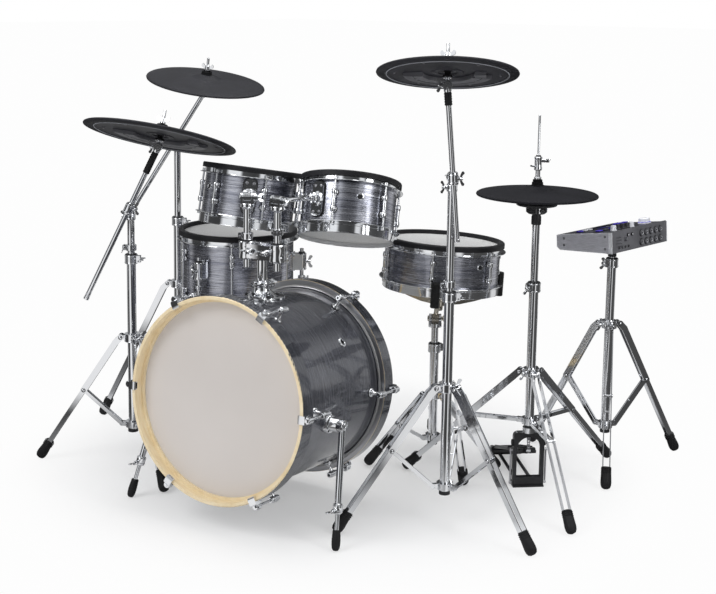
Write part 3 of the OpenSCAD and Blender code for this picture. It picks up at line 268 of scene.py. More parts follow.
silver_edge = brushed("silver_edge", (0.82, 0.83, 0.86), 0.34, 0.35, CASE_TURN, (900, 60, 60))
key_white = rubber("key_white", (0.85, 0.86, 0.9), 0.35, 300, 0.05, 0.5)
key_grey = rubber("key_grey", (0.1, 0.1, 0.115), 0.4, 300, 0.05, 0.4)
key_blue = rubber("key_blue", (0.09, 0.06, 0.6), 0.35, 300, 0.05, 0.5)
key_dark = rubber("key_dark", (0.03, 0.03, 0.035), 0.35, 300, 0.05, 0.5)
screen = rubber("screen", (0.045, 0.045, 0.34), 0.12, 200, 0.02, 0.6)
tray_black = rubber("tray_black", (0.03, 0.03, 0.036), 0.4, 500, 0.06, 0.2)


# ---------------------------------------------------------------- mesh helpers
def facing(axis, side=None):
    """A turn whose Z is axis and whose X is as near to side as it can be."""
    z = Vector(axis).normalized()
    x = Vector(side) if side is not None else (Vector((1, 0, 0)) if abs(z.x) < 0.9 else Vector((0, 1, 0)))
    x = x - z * x.dot(z)
    if x.length < 1e-6:
        x = z.orthogonal()
    x.normalize()
    return Matrix((x, z.cross(x), z)).transposed()


class Shape:
    """Collects geometry in a local frame of the construction frame (millimetres) and makes one piece of it."""

    def __init__(self, at=(0, 0, 0), turn=None):
        self.bm = bmesh.new()
        self.frame(at, turn)

    def frame(self, at=(0, 0, 0), turn=None):
        self.at = Vector(at)
        self.turn = turn if turn is not None else Matrix.Identity(3)
        return self

    def vert(self, p):
        return self.bm.verts.new(self.at + self.turn @ Vector(p))

    def add(self, points, faces, at, turn, material):
        verts = [self.vert(Vector(at) + turn @ Vector(p)) for p in points]
        for f in faces:
            try:
                self.bm.faces.new([verts[i] for i in f]).material_index = material
            except ValueError:
                pass

    def lathe(self, profile, at=(0, 0, 0), axis=(0, 0, 1), seg=40, side=None, sweep=360, material=0):
        """Turns (radius, height) pairs about an axis. A part turn of a closed profile gets flat ends."""
        whole = sweep >= 360
        steps = seg if whole else seg + 1
        points, faces, rows = [], [], []
        for r, h in profile:
            row = []
            for k in range(1 if r < 0.02 else steps):
                a = math.radians(sweep) * k / seg
                row.append(len(points))
                points.append((r * math.cos(a), r * math.sin(a), h))
            rows.append(row * steps if len(row) == 1 else row)
        for a, b in zip(rows, rows[1:]):
            for k in range(seg):
                j = (k + 1) % steps
                face = list(dict.fromkeys((a[k], a[j], b[j], b[k])))
                if len(face) > 2:
                    faces.append(face)
        if not whole:
            faces.append([row[0] for row in rows[:-1]])
            faces.append([row[-1] for row in rows[:-1]][::-1])
        self.add(points, faces, at, facing(axis, side), material)
        return self

    def rod(self, at, axis, length, r, seg=28, edge=0.8, side=None, material=0, sides=False):
        """A closed round bar from a point along an axis, with its edges broken."""
        e = min(edge, r * 0.6, abs(length) * 0.4)
        up = e if length > 0 else -e
        profile = [(0, 0), (r - e, 0), (r, up), (r, length - up), (r - e, length), (0, length)]
        return self.lathe(profile, at, axis, seg, side, material=material)

    def ring(self, radius, thin, at=(0, 0, 0), axis=(0, 0, 1), seg=48, sides=10, side=None, sweep=360, material=0):
        """A torus, or a part of one."""
        profile = [
            (radius + thin * math.cos(2 * math.pi * k / sides), thin * math.sin(2 * math.pi * k / sides))
            for k in range(sides + 1)
        ]
        return self.lathe(profile, at, axis, seg, side, sweep, material)

    def tube(self, points, r, seg=14, material=0):
        """A round bar along some points. r is one radius, or one for each point."""
        points = [Vector(p) for p in points]
        radii = r if isinstance(r, (list, tuple)) else [r] * len(points)
        rings, side = [], None
        for i, p in enumerate(points):
            turn = facing(points[min(len(points) - 1, i + 1)] - points[max(0, i - 1)], side)
            side = turn.col[0].copy()
            angles = [2 * math.pi * k / seg for k in range(seg)]
            rings.append([self.vert(p + turn @ Vector((radii[i] * math.cos(t), radii[i] * math.sin(t), 0))) for t in angles])
        for a, b in zip(rings, rings[1:]):
            for k in range(seg):
                j = (k + 1) % seg
                self.bm.faces.new((a[k], a[j], b[j], b[k])).material_index = material
        self.bm.faces.new(rings[0][::-1]).material_index = material
        self.bm.faces.new(rings[-1]).material_index = material
        return self

    def box(self, size, at=(0, 0, 0), turn=None, bevel=0.8, material=0):
        x, y, z = (s / 2 for s in size)
        points = [(i * x, j * y, k * z) for i in (-1, 1) for j in (-1, 1) for k in (-1, 1)]
        faces = [(0, 1, 3, 2), (4, 6, 7, 5), (0, 4, 5, 1), (2, 3, 7, 6), (0, 2, 6, 4), (1, 5, 7, 3)]
        return self.beveled(points, faces, at, turn, bevel, material)

    def plate(self, outline, thick, at=(0, 0, 0), turn=None, bevel=0.6, material=0):
        """An outline in the local XY plane, made thick about it."""
        n = len(outline)
        points = [(x, y, -thick / 2) for x, y in outline] + [(x, y, thick / 2) for x, y in outline]
        faces = [tuple(reversed(range(n))), tuple(range(n, 2 * n))]
        faces += [(k, (k + 1) % n, n + (k + 1) % n, n + k) for k in range(n)]
        return self.beveled(points, faces, at, turn, bevel, material)

    def beveled(self, points, faces, at, turn, bevel, material):
        part = bmesh.new()
        verts = [part.verts.new(p) for p in points]
        for f in faces:
            part.faces.new([verts[i] for i in f])
        if bevel:
            sharp = [e for e in part.edges if e.calc_face_angle(0) > 0.5]
            bmesh.ops.bevel(part, geom=sharp, offset=bevel, segments=2, affect="EDGES", clamp_overlap=True)
        part.verts.index_update()
        points = [v.co.copy() for v in part.verts]
        faces = [[v.index for v in f.verts] for f in part.faces]
        part.free()
        self.add(points, faces, at, turn if turn is not None else Matrix.Identity(3), material)
        return self

    def ball(self, r, at=(0, 0, 0), seg=20, flat=1.0, axis=(0, 0, 1), material=0):
        steps = [math.pi * k / 10 for k in range(11)]
        return self.lathe([(r * math.sin(t), -r * flat * math.cos(t)) for t in steps], at, axis, seg, material=material)

    def wings(self, at, axis, side, length=15, hub=6, tall=9, material=0):
        """A wing screw's head: a waisted hub and two curved, rounded wings."""
        profile = [(0, tall + 1), (hub * 0.6, tall + 1), (hub * 0.75, tall - 1), (hub * 0.8, 3), (hub, 1.5), (hub, 0), (0, 0)]
        self.lathe(profile, at, axis, 20, side, material=material)
        turn = facing(axis, side) @ Matrix(((1, 0, 0), (0, 0, -1), (0, 1, 0)))
        for s in (-1, 1):
            outline = []
            for k in range(9):
                t = k / 8
                outline.append((s * (hub * 0.3 + (length - hub * 0.3) * t), 2.0 + 3.5 * t * t))
            for k in range(1, 8):
                a = -math.pi / 2 + math.pi * k / 8
                outline.append((s * (length + 3 * math.cos(a)), tall + 0.5 + (tall - 5) * math.sin(a)))
            for k in range(9):
                t = 1 - k / 8
                outline.append((s * (hub * 0.3 + (length - 2 - hub * 0.3) * t), tall - 1.5 + (tall - 2.5) * t * t))
            self.plate(outline if s > 0 else outline[::-1], 2.8, at, turn, 0.9, material)
        return self

    def key_bolt(self, at, axis, r=4.6, square=5.6, material=0):
        """A tension rod's end: washer and square head."""
        self.lathe([(0, 0), (r, 0), (r, 0.9), (r - 0.7, 1.5), (0, 1.5)], at, axis, 20, material=material)
        turn = facing(axis)
        self.rod(Vector(at) + turn @ Vector((0, 0, 1.4)), axis, 2.6, r * 0.82, 20, 0.7, material=material)
        return self.box((square, square, 5.5), Vector(at) + turn @ Vector((0, 0, 5.4)), turn, 0.7, material)

    def done(self, name, body, *materials, slot="chrome", replaces=()):
        for v in self.bm.verts:
            v.co = (v.co - CENTRE) / 1000
        bmesh.ops.recalc_face_normals(self.bm, faces=self.bm.faces)
        for face in self.bm.faces:
            face.smooth = True
        for edge in self.bm.edges:
            edge.smooth = edge.calc_face_angle(0) < math.radians(32)
        mesh = bpy.data.meshes.new(name)
        self.bm.to_mesh(mesh)
        self.bm.free()
        for m in materials:
            mesh.materials.append(m.mat if isinstance(m, Mat) else m)
        piece = bpy.data.objects.new(name, mesh)
        bpy.context.scene.collection.objects.link(piece)
        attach(piece, body)
        if replaces:
            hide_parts(*replaces)
        return piece


def polar(r, degrees, z=0.0):
    a = math.radians(degrees)
    return Vector((r * math.cos(a), r * math.sin(a), z))


def rounded(w, h, r, steps=5):
    """A rectangle's outline with round corners."""
    corners = ((w / 2 - r, h / 2 - r, 0), (r - w / 2, h / 2 - r, 90), (r - w / 2, r - h / 2, 180), (w / 2 - r, r - h / 2, 270))
    return [
        (x + r * math.cos(math.radians(a + 90 * k / steps)), y + r * math.sin(math.radians(a + 90 * k / steps)))
        for x, y, a in corners
        for k in range(steps + 1)
    ]


UP = Vector((0, 0, 1))
TO_CAMERA = Vector((math.sin(math.radians(30.8)), -math.cos(math.radians(30.8)), 0))
TO_SIDE = Vector((math.cos(math.radians(30.8)), math.sin(math.radians(30.8)), 0))
spin_z = lambda degrees: Matrix.Rotation(math.radians(degrees), 3, "Z")

# Each boom stand: foot, clamp height, boom's lean and lengths below and above, pad's lean, pad radius, wing side, grip
BOOMS = {
    "ride": ((439, 340), 850, (-4.9, 150, 216), (15.7, 117.6), 165, -1, 30),
    "left": ((-474, 264), 703, (25.5, 272, 182), (18, 90), 202, -1, 60),
    "back": ((-600, 620), 850, (31.5, 224, 160), (11.4, -17.9), 170, 1, 0),
}
# Each tripod: foot, feet's radius, collar, low bracket, tube's top, turn and wing screws' turn
STANDS = {
    "ride": ((439, 340), 269, 342, 96, 575, -134, 180),
    "left": ((-474, 264), 258, 348, 107, 575, -152, 180),
    "back": ((-600, 620), 240, 417, 150, 616, -157, 180),
    "hat": ((508, 684), 331, 308, 178, 545, -168, 60),
    "module": ((606, 985), 236, 387, 102, 570, -68, 300),
    "snare": ((190, 752), 200, 178, 56, 322, -122, 180),
}
HAT = Vector((508, 684, 0))
HEEL = spin_z(127.5)


def boom_points(name):
    (x, y), clamp, (tilt, below, above) = BOOMS[name][:3]
    centre = Vector((x, y, clamp)) + 28.4 * TO_CAMERA
    along = math.sin(math.radians(tilt)) * TO_SIDE + math.cos(math.radians(tilt)) * UP
    return centre, along, centre - below * along, centre + above * along


# ---------------------------------------------------------------- pads
def pad(name, body, at, turn, r):
    """A rubber playing skin over a tray, with the arched sensor box and the slots under it."""
    drop = 0.055 * r
    s = Shape(at, turn)
    skin = [
        (9.5, 10.5), (16.8, 10.5), (22, 9.8), (26, 8.6), (33, 5), (38, 2.6), (42, 0.9), (46, 0),
        (0.45 * r, -0.2 * drop), (0.6 * r, -0.35 * drop), (0.8 * r, -0.66 * drop), (r - 14, -0.92 * drop),
        (r - 8, -drop), (r - 3.5, -drop - 1), (r - 1, -drop - 2.6), (r, -drop - 5), (r - 1, -drop - 7),
        (r - 4, -drop - 7.9), (r - 10, -8.9 - drop), (0.86 * r + 2, -11.6 - 0.75 * drop), (0.86 * r, -10.5 - 0.75 * drop),
    ]
    s.lathe(skin, seg=96)
    low = -10.5 - 0.6 * drop
    tray = [
        (0.86 * r + 0.4, -10.5 - 0.75 * drop), (0.86 * r - 2.4, -10.7 - 0.75 * drop), (0.84 * r, -9.5 - 0.72 * drop),
        (0.8 * r, low), (0.62 * r, -9.5 - 0.45 * drop), (0.45 * r, -10.6 - 0.2 * drop), (44, -10.8), (40, -10.5), (38, -10),
        (36, -12.5), (24, -12.5), (22, -10), (9.5, -9), (9.5, 10.5),
    ]
    s.lathe(tray, seg=96, material=2)
    # The thin pale line between the skin's folded edge and the tray
    s.ring(0.86 * r - 0.6, 1.1, (0, 0, -11.2 - 0.75 * drop), seg=96, material=1)
    # The sensor's arched box lies on the far side, with screws and the jack at its end
    far = turn.inverted() @ -TO_CAMERA
    start = spin_z(-85) @ Vector((far.x, far.y, 0))
    base = -9 - 0.3 * drop
    inner, outer = 0.34 * r, 0.62 * r
    arch = [
        (inner, base), (outer, base), (outer + 1.5, -18), (outer - 1, -21), (outer - 4, -21.8),
        (inner + 4, -21.8), (inner + 1, -21), (inner, -18), (inner, base),
    ]
    s.lathe(arch, seg=48, side=start, sweep=170, material=3)
    s.ring((inner + outer) / 2, 0.8, (0, 0, -21.8), seg=48, sides=6, side=start, sweep=170, material=2)
    for k in range(6):
        a = math.degrees(math.atan2(far.y, far.x)) + 60 * k + 30
        s.lathe([(0, -1.2), (1.6, -1.2), (2.6, -0.8), (3.2, 0), (3.2, 1.5), (0, 1.5)], polar(0.74 * r, a, low - 0.4), seg=14, material=4)
        if k % 2:
            s.box((9, 3.2, 2.4), polar(30, a, -12.8), spin_z(a), 0.8, material=3)
    for k in (-1, 0, 1):
        a = math.degrees(math.atan2(far.y, far.x)) + 62 * k
        s.rod(polar((inner + outer) / 2, a, -21.2), (0, 0, -1), 1.6, 3.2, 16, 0.6, material=4)
    a = math.degrees(math.atan2(far.y, far.x)) - 96
    s.box((26, 30, 13), polar(0.46 * r, a, -14.5), spin_z(a), 2.2, material=3)
    s.rod(polar(0.46 * r - 12, a, -15), -polar(1, a), 3.4, 5.6, 20, 0.6, material=4)
    # The felt sleeve on the bell
    s.lathe([(9.5, 10.6), (16, 10.6), (15.8, 12), (14.6, 13), (14.2, 18.5), (13, 19.6), (9.5, 19.6), (9.5, 10.6)], seg=40, material=5)
    # Every pad but the hat's gets the lighter rubber, whose extra lightness is painted sheen.
    skin_rubber = hat_rubber if body == "hat_pad" else pad_rubber
    s.done(name, body, skin_rubber, pale_ring, tray_black, case_dark, knurled, felt, slot="pad_rubber", replaces=(body,))


for key, (_, _, _, lean, radius, _, _) in BOOMS.items():
    high = boom_points(key)[3]
    turn = leaned(*lean)
    pad(key + "_playing_pad", key + "_pad", high + turn @ Vector((0, 0, 42)), turn, radius)
pad("hat_playing_pad", "hat_pad", HAT + Vector((0, 0, 786)), Matrix.Identity(3), 155)


# ---------------------------------------------------------------- booms
def boom(name):
    centre, along, low, high = boom_points(name)
    (x, y), clamp, _, lean, _, wing, grip = BOOMS[name]
    s = Shape()
    tube_turn = facing(along, TO_CAMERA)
    length = (high - low).length
    s.frame(low, tube_turn)
    s.lathe([(0, 0), (6.6, 0), (7.5, 0.8), (7.5, 6), (6.5, 7), (6.5, length - 4), (4, length - 2), (0, length - 2)], seg=28)
    for k in range(4):
        s.ring(6.5, 0.5, (0, 0, 10 + 3.2 * k), seg=24, sides=6, material=2)
    if grip:
        # A ribbed black sleeve just under the tilter
        profile, z = [(6.4, length - 16 - grip)], length - 16 - grip
        while z < length - 18:
            profile += [(8.6, z + 0.5), (9, z + 1.5), (9, z + 4), (8.5, z + 5), (8.3, z + 6)]
            z += 6
        profile += [(8.2, z + 0.6), (6.4, z + 0.8)]
        s.lathe(profile, seg=26, material=1)
    s.lathe([(6.4, length - 15), (8.6, length - 14.4), (9.1, length - 12), (9.1, length - 7), (8, length - 5.6), (6.4, length - 5.4)], seg=26)
    # The ratchet's half: toothed disc, flange and the wing nut behind the post
    face = Vector((x, y, clamp)) + 6.4 * TO_CAMERA
    s.frame(face, facing(TO_CAMERA, UP))
    s.lathe([(0, 0), (13.2, 0), (14, 0.7), (14, 3), (12.6, 4), (12.6, 8.4), (11.4, 10), (9, 11), (0, 11)], seg=36)
    for k in range(24):
        s.box((2.4, 1.5, 2.6), polar(13.3, 15 * k, 1.5), spin_z(15 * k), 0.3)
    # The rounded clamp that holds the tube, split at the side of its wing screw
    s.frame(centre, tube_turn)
    s.lathe([(6.6, -15), (10.4, -15), (11.7, -13.8), (12, -12), (12.3, -4), (12.3, 4), (12, 12), (11.7, 13.8), (10.4, 15), (6.6, 15)], seg=32)
    for e in (-1, 1):
        s.ring(12, 0.7, (0, 0, 9.5 * e), seg=32, sides=6)
        s.rod((9, 0, 8 * e), (1, 0, 0), 5.2, 2.6, 14, 0.6, material=2)
    s.frame()
    s.rod(centre + 10 * TO_SIDE, TO_SIDE, 4, 5.6, 22, 0.6)
    s.wings(centre + 13.6 * TO_SIDE, TO_SIDE, along, 14, 5.2, 8.5)
    back = Vector((x, y, clamp)) - 6.4 * TO_CAMERA
    s.rod(back, -TO_CAMERA, 7, 8, 26, 0.9)
    s.rod(back - 7 * TO_CAMERA, -TO_CAMERA, 2, 5.4, 20, 0.5)
    s.wings(back - 8 * TO_CAMERA, -TO_CAMERA, TO_SIDE, 13, 5.4, 8)
    # The tilter: two toothed halves, pin heads, and its wing screw
    s.frame(high, facing(TO_CAMERA, UP))
    s.lathe([(0, 9.6), (5, 9.6), (5.6, 9), (5.6, 8.6), (10, 8.6), (11, 7.6), (11, 0.8), (10.2, 0), (11, -0.8), (11, -7.6), (10, -8.6), (5.6, -8.6), (5.6, -9.4), (0, -9.4)], seg=32)
    for k in range(20):
        s.box((1.8, 1.3, 3), polar(10.5, 18 * k, 0), spin_z(18 * k), 0.3)
    s.lathe([(0, 10.6), (1.4, 10.6), (1.5, 9.5), (3, 9.5), (3, 9)], seg=16, material=2)
    s.frame()
    s.rod(high + wing * 8 * TO_SIDE, wing * TO_SIDE, 4.5, 6.4, 22, 0.8)
    s.wings(high + wing * 12 * TO_SIDE, wing * TO_SIDE, UP, 13, 5.4, 8.5)
    # The stem with its cup, felts and wing nut
    turn = leaned(*lean)
    s.frame(high, turn)
    s.lathe([(0, 4), (6.4, 5), (6.4, 12.6), (4.5, 14.4), (4.5, 78), (3.9, 79), (3.9, 99.2), (3.2, 100), (0, 100)], seg=22)
    s.lathe([(4.4, 15), (9, 15), (12, 16.2), (12, 18.4), (10.4, 19.2), (4.4, 19.2)], seg=28)
    s.lathe([(4.4, 19.2), (10.8, 19.4), (11.4, 21), (10.8, 23.6), (7.2, 24), (7, 34), (4.4, 34)], seg=28, material=3)
    s.lathe([(4.4, 34.5), (7.2, 34.8), (9.8, 37), (11.6, 40), (11.9, 42), (11.6, 44.4), (9.6, 48), (7, 51.4), (5.5, 52), (5.5, 63.6), (4.4, 63.8)], seg=28, material=4)
    side = turn.inverted() @ (TO_SIDE + 0.3 * TO_CAMERA)
    s.lathe([(4.4, 64), (7.4, 64), (7.5, 65), (7.1, 72), (6.2, 77), (4.4, 78)], seg=22)
    s.wings((0, 0, 66), (0, 0, 1), side, 15, 6, 10.5)
    s.done(name + "_boom_arm", name + "_boom", chrome, black_rubber, knurled, felt, nylon, replaces=(name + "_boom",))
    # The post's collar screw and its half of the ratchet
    neck = clamp - 14.4
    t = Shape()
    bottom = STANDS[name][4] - 110
    t.frame((x, y, 0), facing(UP, TO_SIDE))
    t.lathe([
        (0, bottom), (8.7, bottom), (9.5, bottom + 1), (9.5, neck - 20), (11.6, neck - 20), (12.5, neck - 19), (12.5, neck - 3),
        (11.5, neck - 1.4), (9.4, neck - 0.4), (8.6, neck), (0, neck)], seg=36)
    t.ring(12.5, 0.6, (0, 0, neck - 15.5), seg=36, sides=6)
    t.ring(12.5, 0.6, (0, 0, neck - 5), seg=36, sides=6)
    t.box((19, 12, 16), (0, 0, neck + 6), None, 2.4)
    t.frame((x, y, clamp), facing(TO_CAMERA, UP))
    t.lathe([(4.1, -6), (12.6, -6), (14, -4.8), (14, 4.6), (13.2, 6), (4.1, 6)], seg=36)
    for k in range(24):
        t.box((2.4, 1.5, 2.4), polar(13.3, 15 * k + 7.5, 4.4), spin_z(15 * k + 7.5), 0.3)
    t.frame()
    at = Vector((x, y, neck - 10)) - 12 * TO_SIDE
    t.rod(at, -TO_SIDE, 3.4, 5.6, 20, 0.6)
    t.wings(at - 3.2 * TO_SIDE, -TO_SIDE, UP, 12, 5.2, 8)
    post = "left_stand_post" if name == "left" else name + "_post"
    t.done(post + "_tube", post, chrome, replaces=(post,))


for key in BOOMS:
    boom(key)


# ---------------------------------------------------------------- feet, wing screws and collars of the tripods
feet = Shape()
screws = Shape()
trim = Shape()
for key, ((x, y), reach, collar, bracket, top, turn, wing_turn) in STANDS.items():
    for k in range(3):
        s = spin_z(turn + 120 * k)
        ankle = Vector((reach - 12, 0, 26))
        knee = Vector((44, 0, collar - 14))
        along = (ankle - knee).normalized()
        feet.frame((x, y, 0), s)
        lean = facing(along, (0, 1, 0))
        # A long boot that widens to a rounded toe and stands on a flat
        sections = [(-31, 11.4, 9.4), (-30, 13, 11), (-16, 13.4, 12), (0, 14, 13.4), (10, 14.4, 14.2), (18, 13.4, 13.6), (24, 10.6, 11), (27, 5, 5.4)]
        rings = []
        for d, wide, high in sections:
            rings.append([
                feet.vert(ankle + lean @ Vector((wide * math.cos(a), high * math.sin(a), d)))
                for a in (2 * math.pi * i / 22 for i in range(22))
            ])
        for a, b in zip(rings, rings[1:]):
            for i in range(22):
                feet.bm.faces.new((a[i], a[(i + 1) % 22], b[(i + 1) % 22], b[i]))
        feet.bm.faces.new(rings[0][::-1])
        feet.bm.faces.new(rings[-1])
        for d in (-26, -21, -16):
            e = ankle + lean @ Vector((0, 0, d))
            feet.ring(13.1, 0.9, e, lean @ Vector((0, 0, 1)), 22, 6)
        # Rivet heads on the leg's rails, with black washers
        brace = knee + (ankle - knee) * 0.44
        for p in (Vector((30, 0, collar)), brace):
            for e in (-1, 1):
                at = Vector((p.x, 10.4 * e, p.z))
                trim.frame((x, y, 0), s)
                trim.lathe([(0, 2.6), (2.4, 2.5), (4.2, 1.7), (4.9, 0.3), (4.9, 0), (0, 0)], at, (0, e, 0), 18)
                trim.lathe([(0, 0.4), (5.8, 0.4), (6, 0), (0, 0)], at, (0, e, 0), 18, material=1)
    s = spin_z(turn + wing_turn)
    screws.frame((x, y, 0), s)
    for r, z in ((17, top - 12), (20, collar)):
        screws.rod((r - 4, 0, z), (1, 0, 0), 8, 5, 20, 0.6)
        screws.wings((r + 3.6, 0, z), (1, 0, 0), (0, 1, 0) if r == 17 and key not in ("hat", "module") else (0, 0.3, 1), 14.5, 6, 9.6)
    # Black bush in the top of the lower tube, and the sleeve's clamping ears and bands
    trim.frame((x, y, 0), s)
    trim.lathe([(9.8, top - 1), (9.8, top + 2.2), (11, top + 2.6), (15, top + 2), (16.4, top + 0.4), (9.8, top + 0.3)], seg=32, material=1)
    for z in (top - 21, top - 3):
        trim.ring(16.9, 0.9, (0, 0, z), seg=40, sides=8)
    for e in (-1, 1):
        trim.box((12, 5, 19), (19, 5.2 * e, top - 12), None, 1.4)
    trim.rod((20.5, -9, top - 17), (0, 1, 0), 18, 2.2, 14, 0.5, material=2)
    for z in (collar - 10, collar + 10):
        trim.ring(19.9, 0.8, (0, 0, z), seg=40, sides=8)
    trim.lathe([(12.1, bracket - 22), (13.6, bracket - 21.4), (13.6, bracket - 13), (12.1, bracket - 12.4)], seg=32, material=1)
for v in feet.bm.verts:
    v.co.z = max(v.co.z, 0.0)
feet.frame()
feet.done("boots", "kit_base", black_rubber, slot="foot_rubber", replaces=("rubber_feet",))
trim.done("stand_trim", "kit_base", chrome, nylon, knurled)
for e in (-1, 1):
    at = Vector((22 * e, 174, 647))
    screws.frame()
    screws.rod(at + Vector((0, 4, 0)), (0, -1, 0), 8, 5.4, 20, 0.6)
    screws.wings(at + Vector((0, -3.6, 0)), (0, -1, 0), (1, 0, 0.25 * e), 14.5, 6, 9.6)
for a in (30, 150, 270):
    screws.frame((-348, 574, 523), spin_z(a))
    screws.rod((188, 0, 0), (1, 0, 0), 8, 5, 20, 0.6)
    screws.wings((195.6, 0, 0), (1, 0, 0), (0, 0, 1), 14.5, 6, 9.6)
screws.done("wing_screws", "kit_base", chrome, replaces=("wing_bolts",))

# Memory locks just above the sleeves; they are undone before a tube slides, and stay with the stand
s = Shape()
for key, z in (("left", 594), ("ride", 594)):
    s.frame((*STANDS[key][0], 0), facing(UP, TO_SIDE))
    s.lathe([(9.6, z - 8), (13.4, z - 8), (14.2, z - 7), (14.2, z + 7), (13.4, z + 8), (9.6, z + 8), (9.6, z - 8)], seg=32)
    for e in (-1, 1):
        s.box((13, 5, 13), (-16, 4.4 * e, z), None, 1.6)
    s.rod((-18, -9, z), (0, 1, 0), 19, 2.6, 16, 0.6, material=1)
    s.wings((-18, -9, z), (0, -1, 0), (0.4, 0, 1), 10, 4.2, 7)
s.done("boom_stand_locks", "kit_base", chrome, knurled)


# ---------------------------------------------------------------- bass drum fittings
def bass_end(front):
    """The frame of one end of the bass drum: where its outer edge is, and the way in."""
    turn = BASS_TURN if front else BASS_TURN @ Matrix(((1, 0, 0), (0, 1, 0), (0, 0, -1)))
    at = Vector((0, 0, 318)) + (Vector((0, 0, 0)) if front else BASS_TURN @ Vector((0, 0, 415)))
    return at, turn


claws = Shape()
lugs = Shape()
for front in (True, False):
    at, turn = bass_end(front)
    for k in range(6):
        spun = turn @ spin_z(60 * k)
        claws.frame(at, spun)
        # The claw seen along the hoop: a bent hook over the edge, in the local X-Z plane
        hook = [
            (237.6, 5.6), (236.6, 4.4), (236.6, -1.6), (238.6, -4.2), (243, -5), (252, -5), (256.5, -4), (259.5, -1),
            (263, 2.5), (266, 5), (267.4, 9), (266.4, 13.5), (262, 15), (256, 15), (254.6, 17), (254.2, 21), (252.6, 22.6),
            (250.6, 22), (250.4, 1.5), (249, -0.5), (243, -0.6), (241, 0.4), (240.6, 4.6), (239.4, 6),
        ]
        flat = Matrix(((1, 0, 0), (0, 0, -1), (0, 1, 0)))
        claws.plate(hook, 15, (0, 0, 0), flat, 1.6)
        claws.plate([(x, z) for x, z in hook if z > -6 and x < 262][:9] + [(253.5, 4), (246, 0.5)], 20, (0, 0, -0.6), flat, 1.2)
        claws.rod((261, 0, -2.2), (0, 0, 1), 19.4, 8.2, 24, 1.4)
        claws.rod((261, 0, 16), (0, 0, 1), 62, 3, 14, 0.5)
        claws.key_bolt((261, 0, 2.3), (0, 0, -1), 6, 6.2)
        lugs.frame(at, spun)
        z = 77
        lugs.lathe([
            (3.5, z - 17), (5.6, z - 17), (6.6, z - 15.8), (6.8, z - 12), (5.6, z - 10.6), (5.6, z - 9.6), (8, z - 8.6), (8.2, z - 6),
            (8.2, z + 6), (8, z + 8.6), (5.6, z + 9.6), (5.6, z + 10.6), (6.8, z + 12), (6.6, z + 15.8), (5.6, z + 17), (3.5, z + 17),
            (3.5, z - 17)], (261, 0, 0), seg=26)
        foot = [(0, -0.6), (11.2, -0.6), (11.2, 3.4), (10.4, 4.8), (7.2, 6.2), (5.2, 10), (4.6, 20), (5, 27), (0, 27)]
        lugs.lathe(foot, (229.4, 0, z), (1, 0, 0), 26)
        lugs.lathe([(0, -1.6), (12.4, -1.6), (12.6, 0), (11.6, 1), (0, 1)], (229.6, 0, z), (1, 0, 0), 26, material=1)
claws.done("claw_hooks", "kit_base", chrome, replaces=("bass_claws",))
lugs.done("lug_barrels", "kit_base", chrome, nylon, replaces=("bass_lugs",))

# The film's edge ring, and a fine bright line where each hoop meets its head
rings = Shape()
for front in (True, False):
    at, turn = bass_end(front)
    rings.frame(at, turn)
    rings.ring(239.6, 1.3, (0, 0, 30.2), seg=120, sides=8)
    rings.ring(231.5, 1.5, (0, 0, 41.6), seg=120, sides=8)
    rings.lathe([(247.6, 42.1), (249.2, 42.1), (249.4, 42.9), (247.6, 43.1), (238, 43), (238, 42.1), (247.6, 42.1)], seg=120)
rings.done("hoop_rings", "kit_base", steel)
socket = Shape(Vector((0, 0, 318)) + BASS_TURN @ Vector((0, 0, 257.3)), BASS_TURN)
out = Vector((math.cos(math.radians(35)), -math.sin(math.radians(35)), 0))
socket.lathe([(7.2, 228), (12, 228), (12.4, 230), (11, 231.6), (8, 231.8), (7.2, 230), (7.2, 222)], axis=out, seg=32)
socket.done("bass_socket", "kit_base", chrome)


def strap_outline(points, w):
    """The outline of a flat bar of one width along some points, with round ends."""
    points = [Vector((p[0], p[1])) for p in points]
    left, right = [], []
    for i, p in enumerate(points):
        d = (points[min(len(points) - 1, i + 1)] - points[max(0, i - 1)]).normalized()
        normal = Vector((-d.y, d.x)) * w / 2
        left.append(p + normal)
        right.append(p - normal)
    outline = list(right)
    for end, start in ((points[-1], right[-1]), (points[0], left[0])):
        arm = start - end
        base = math.atan2(arm.y, arm.x)
        arc = [end + Vector((math.cos(base + math.pi * k / 8), math.sin(base + math.pi * k / 8))) * w / 2 for k in range(1, 8)]
        outline += arc + (left[::-1] if end == points[-1] else [])
    return [(p.x, p.y) for p in outline]


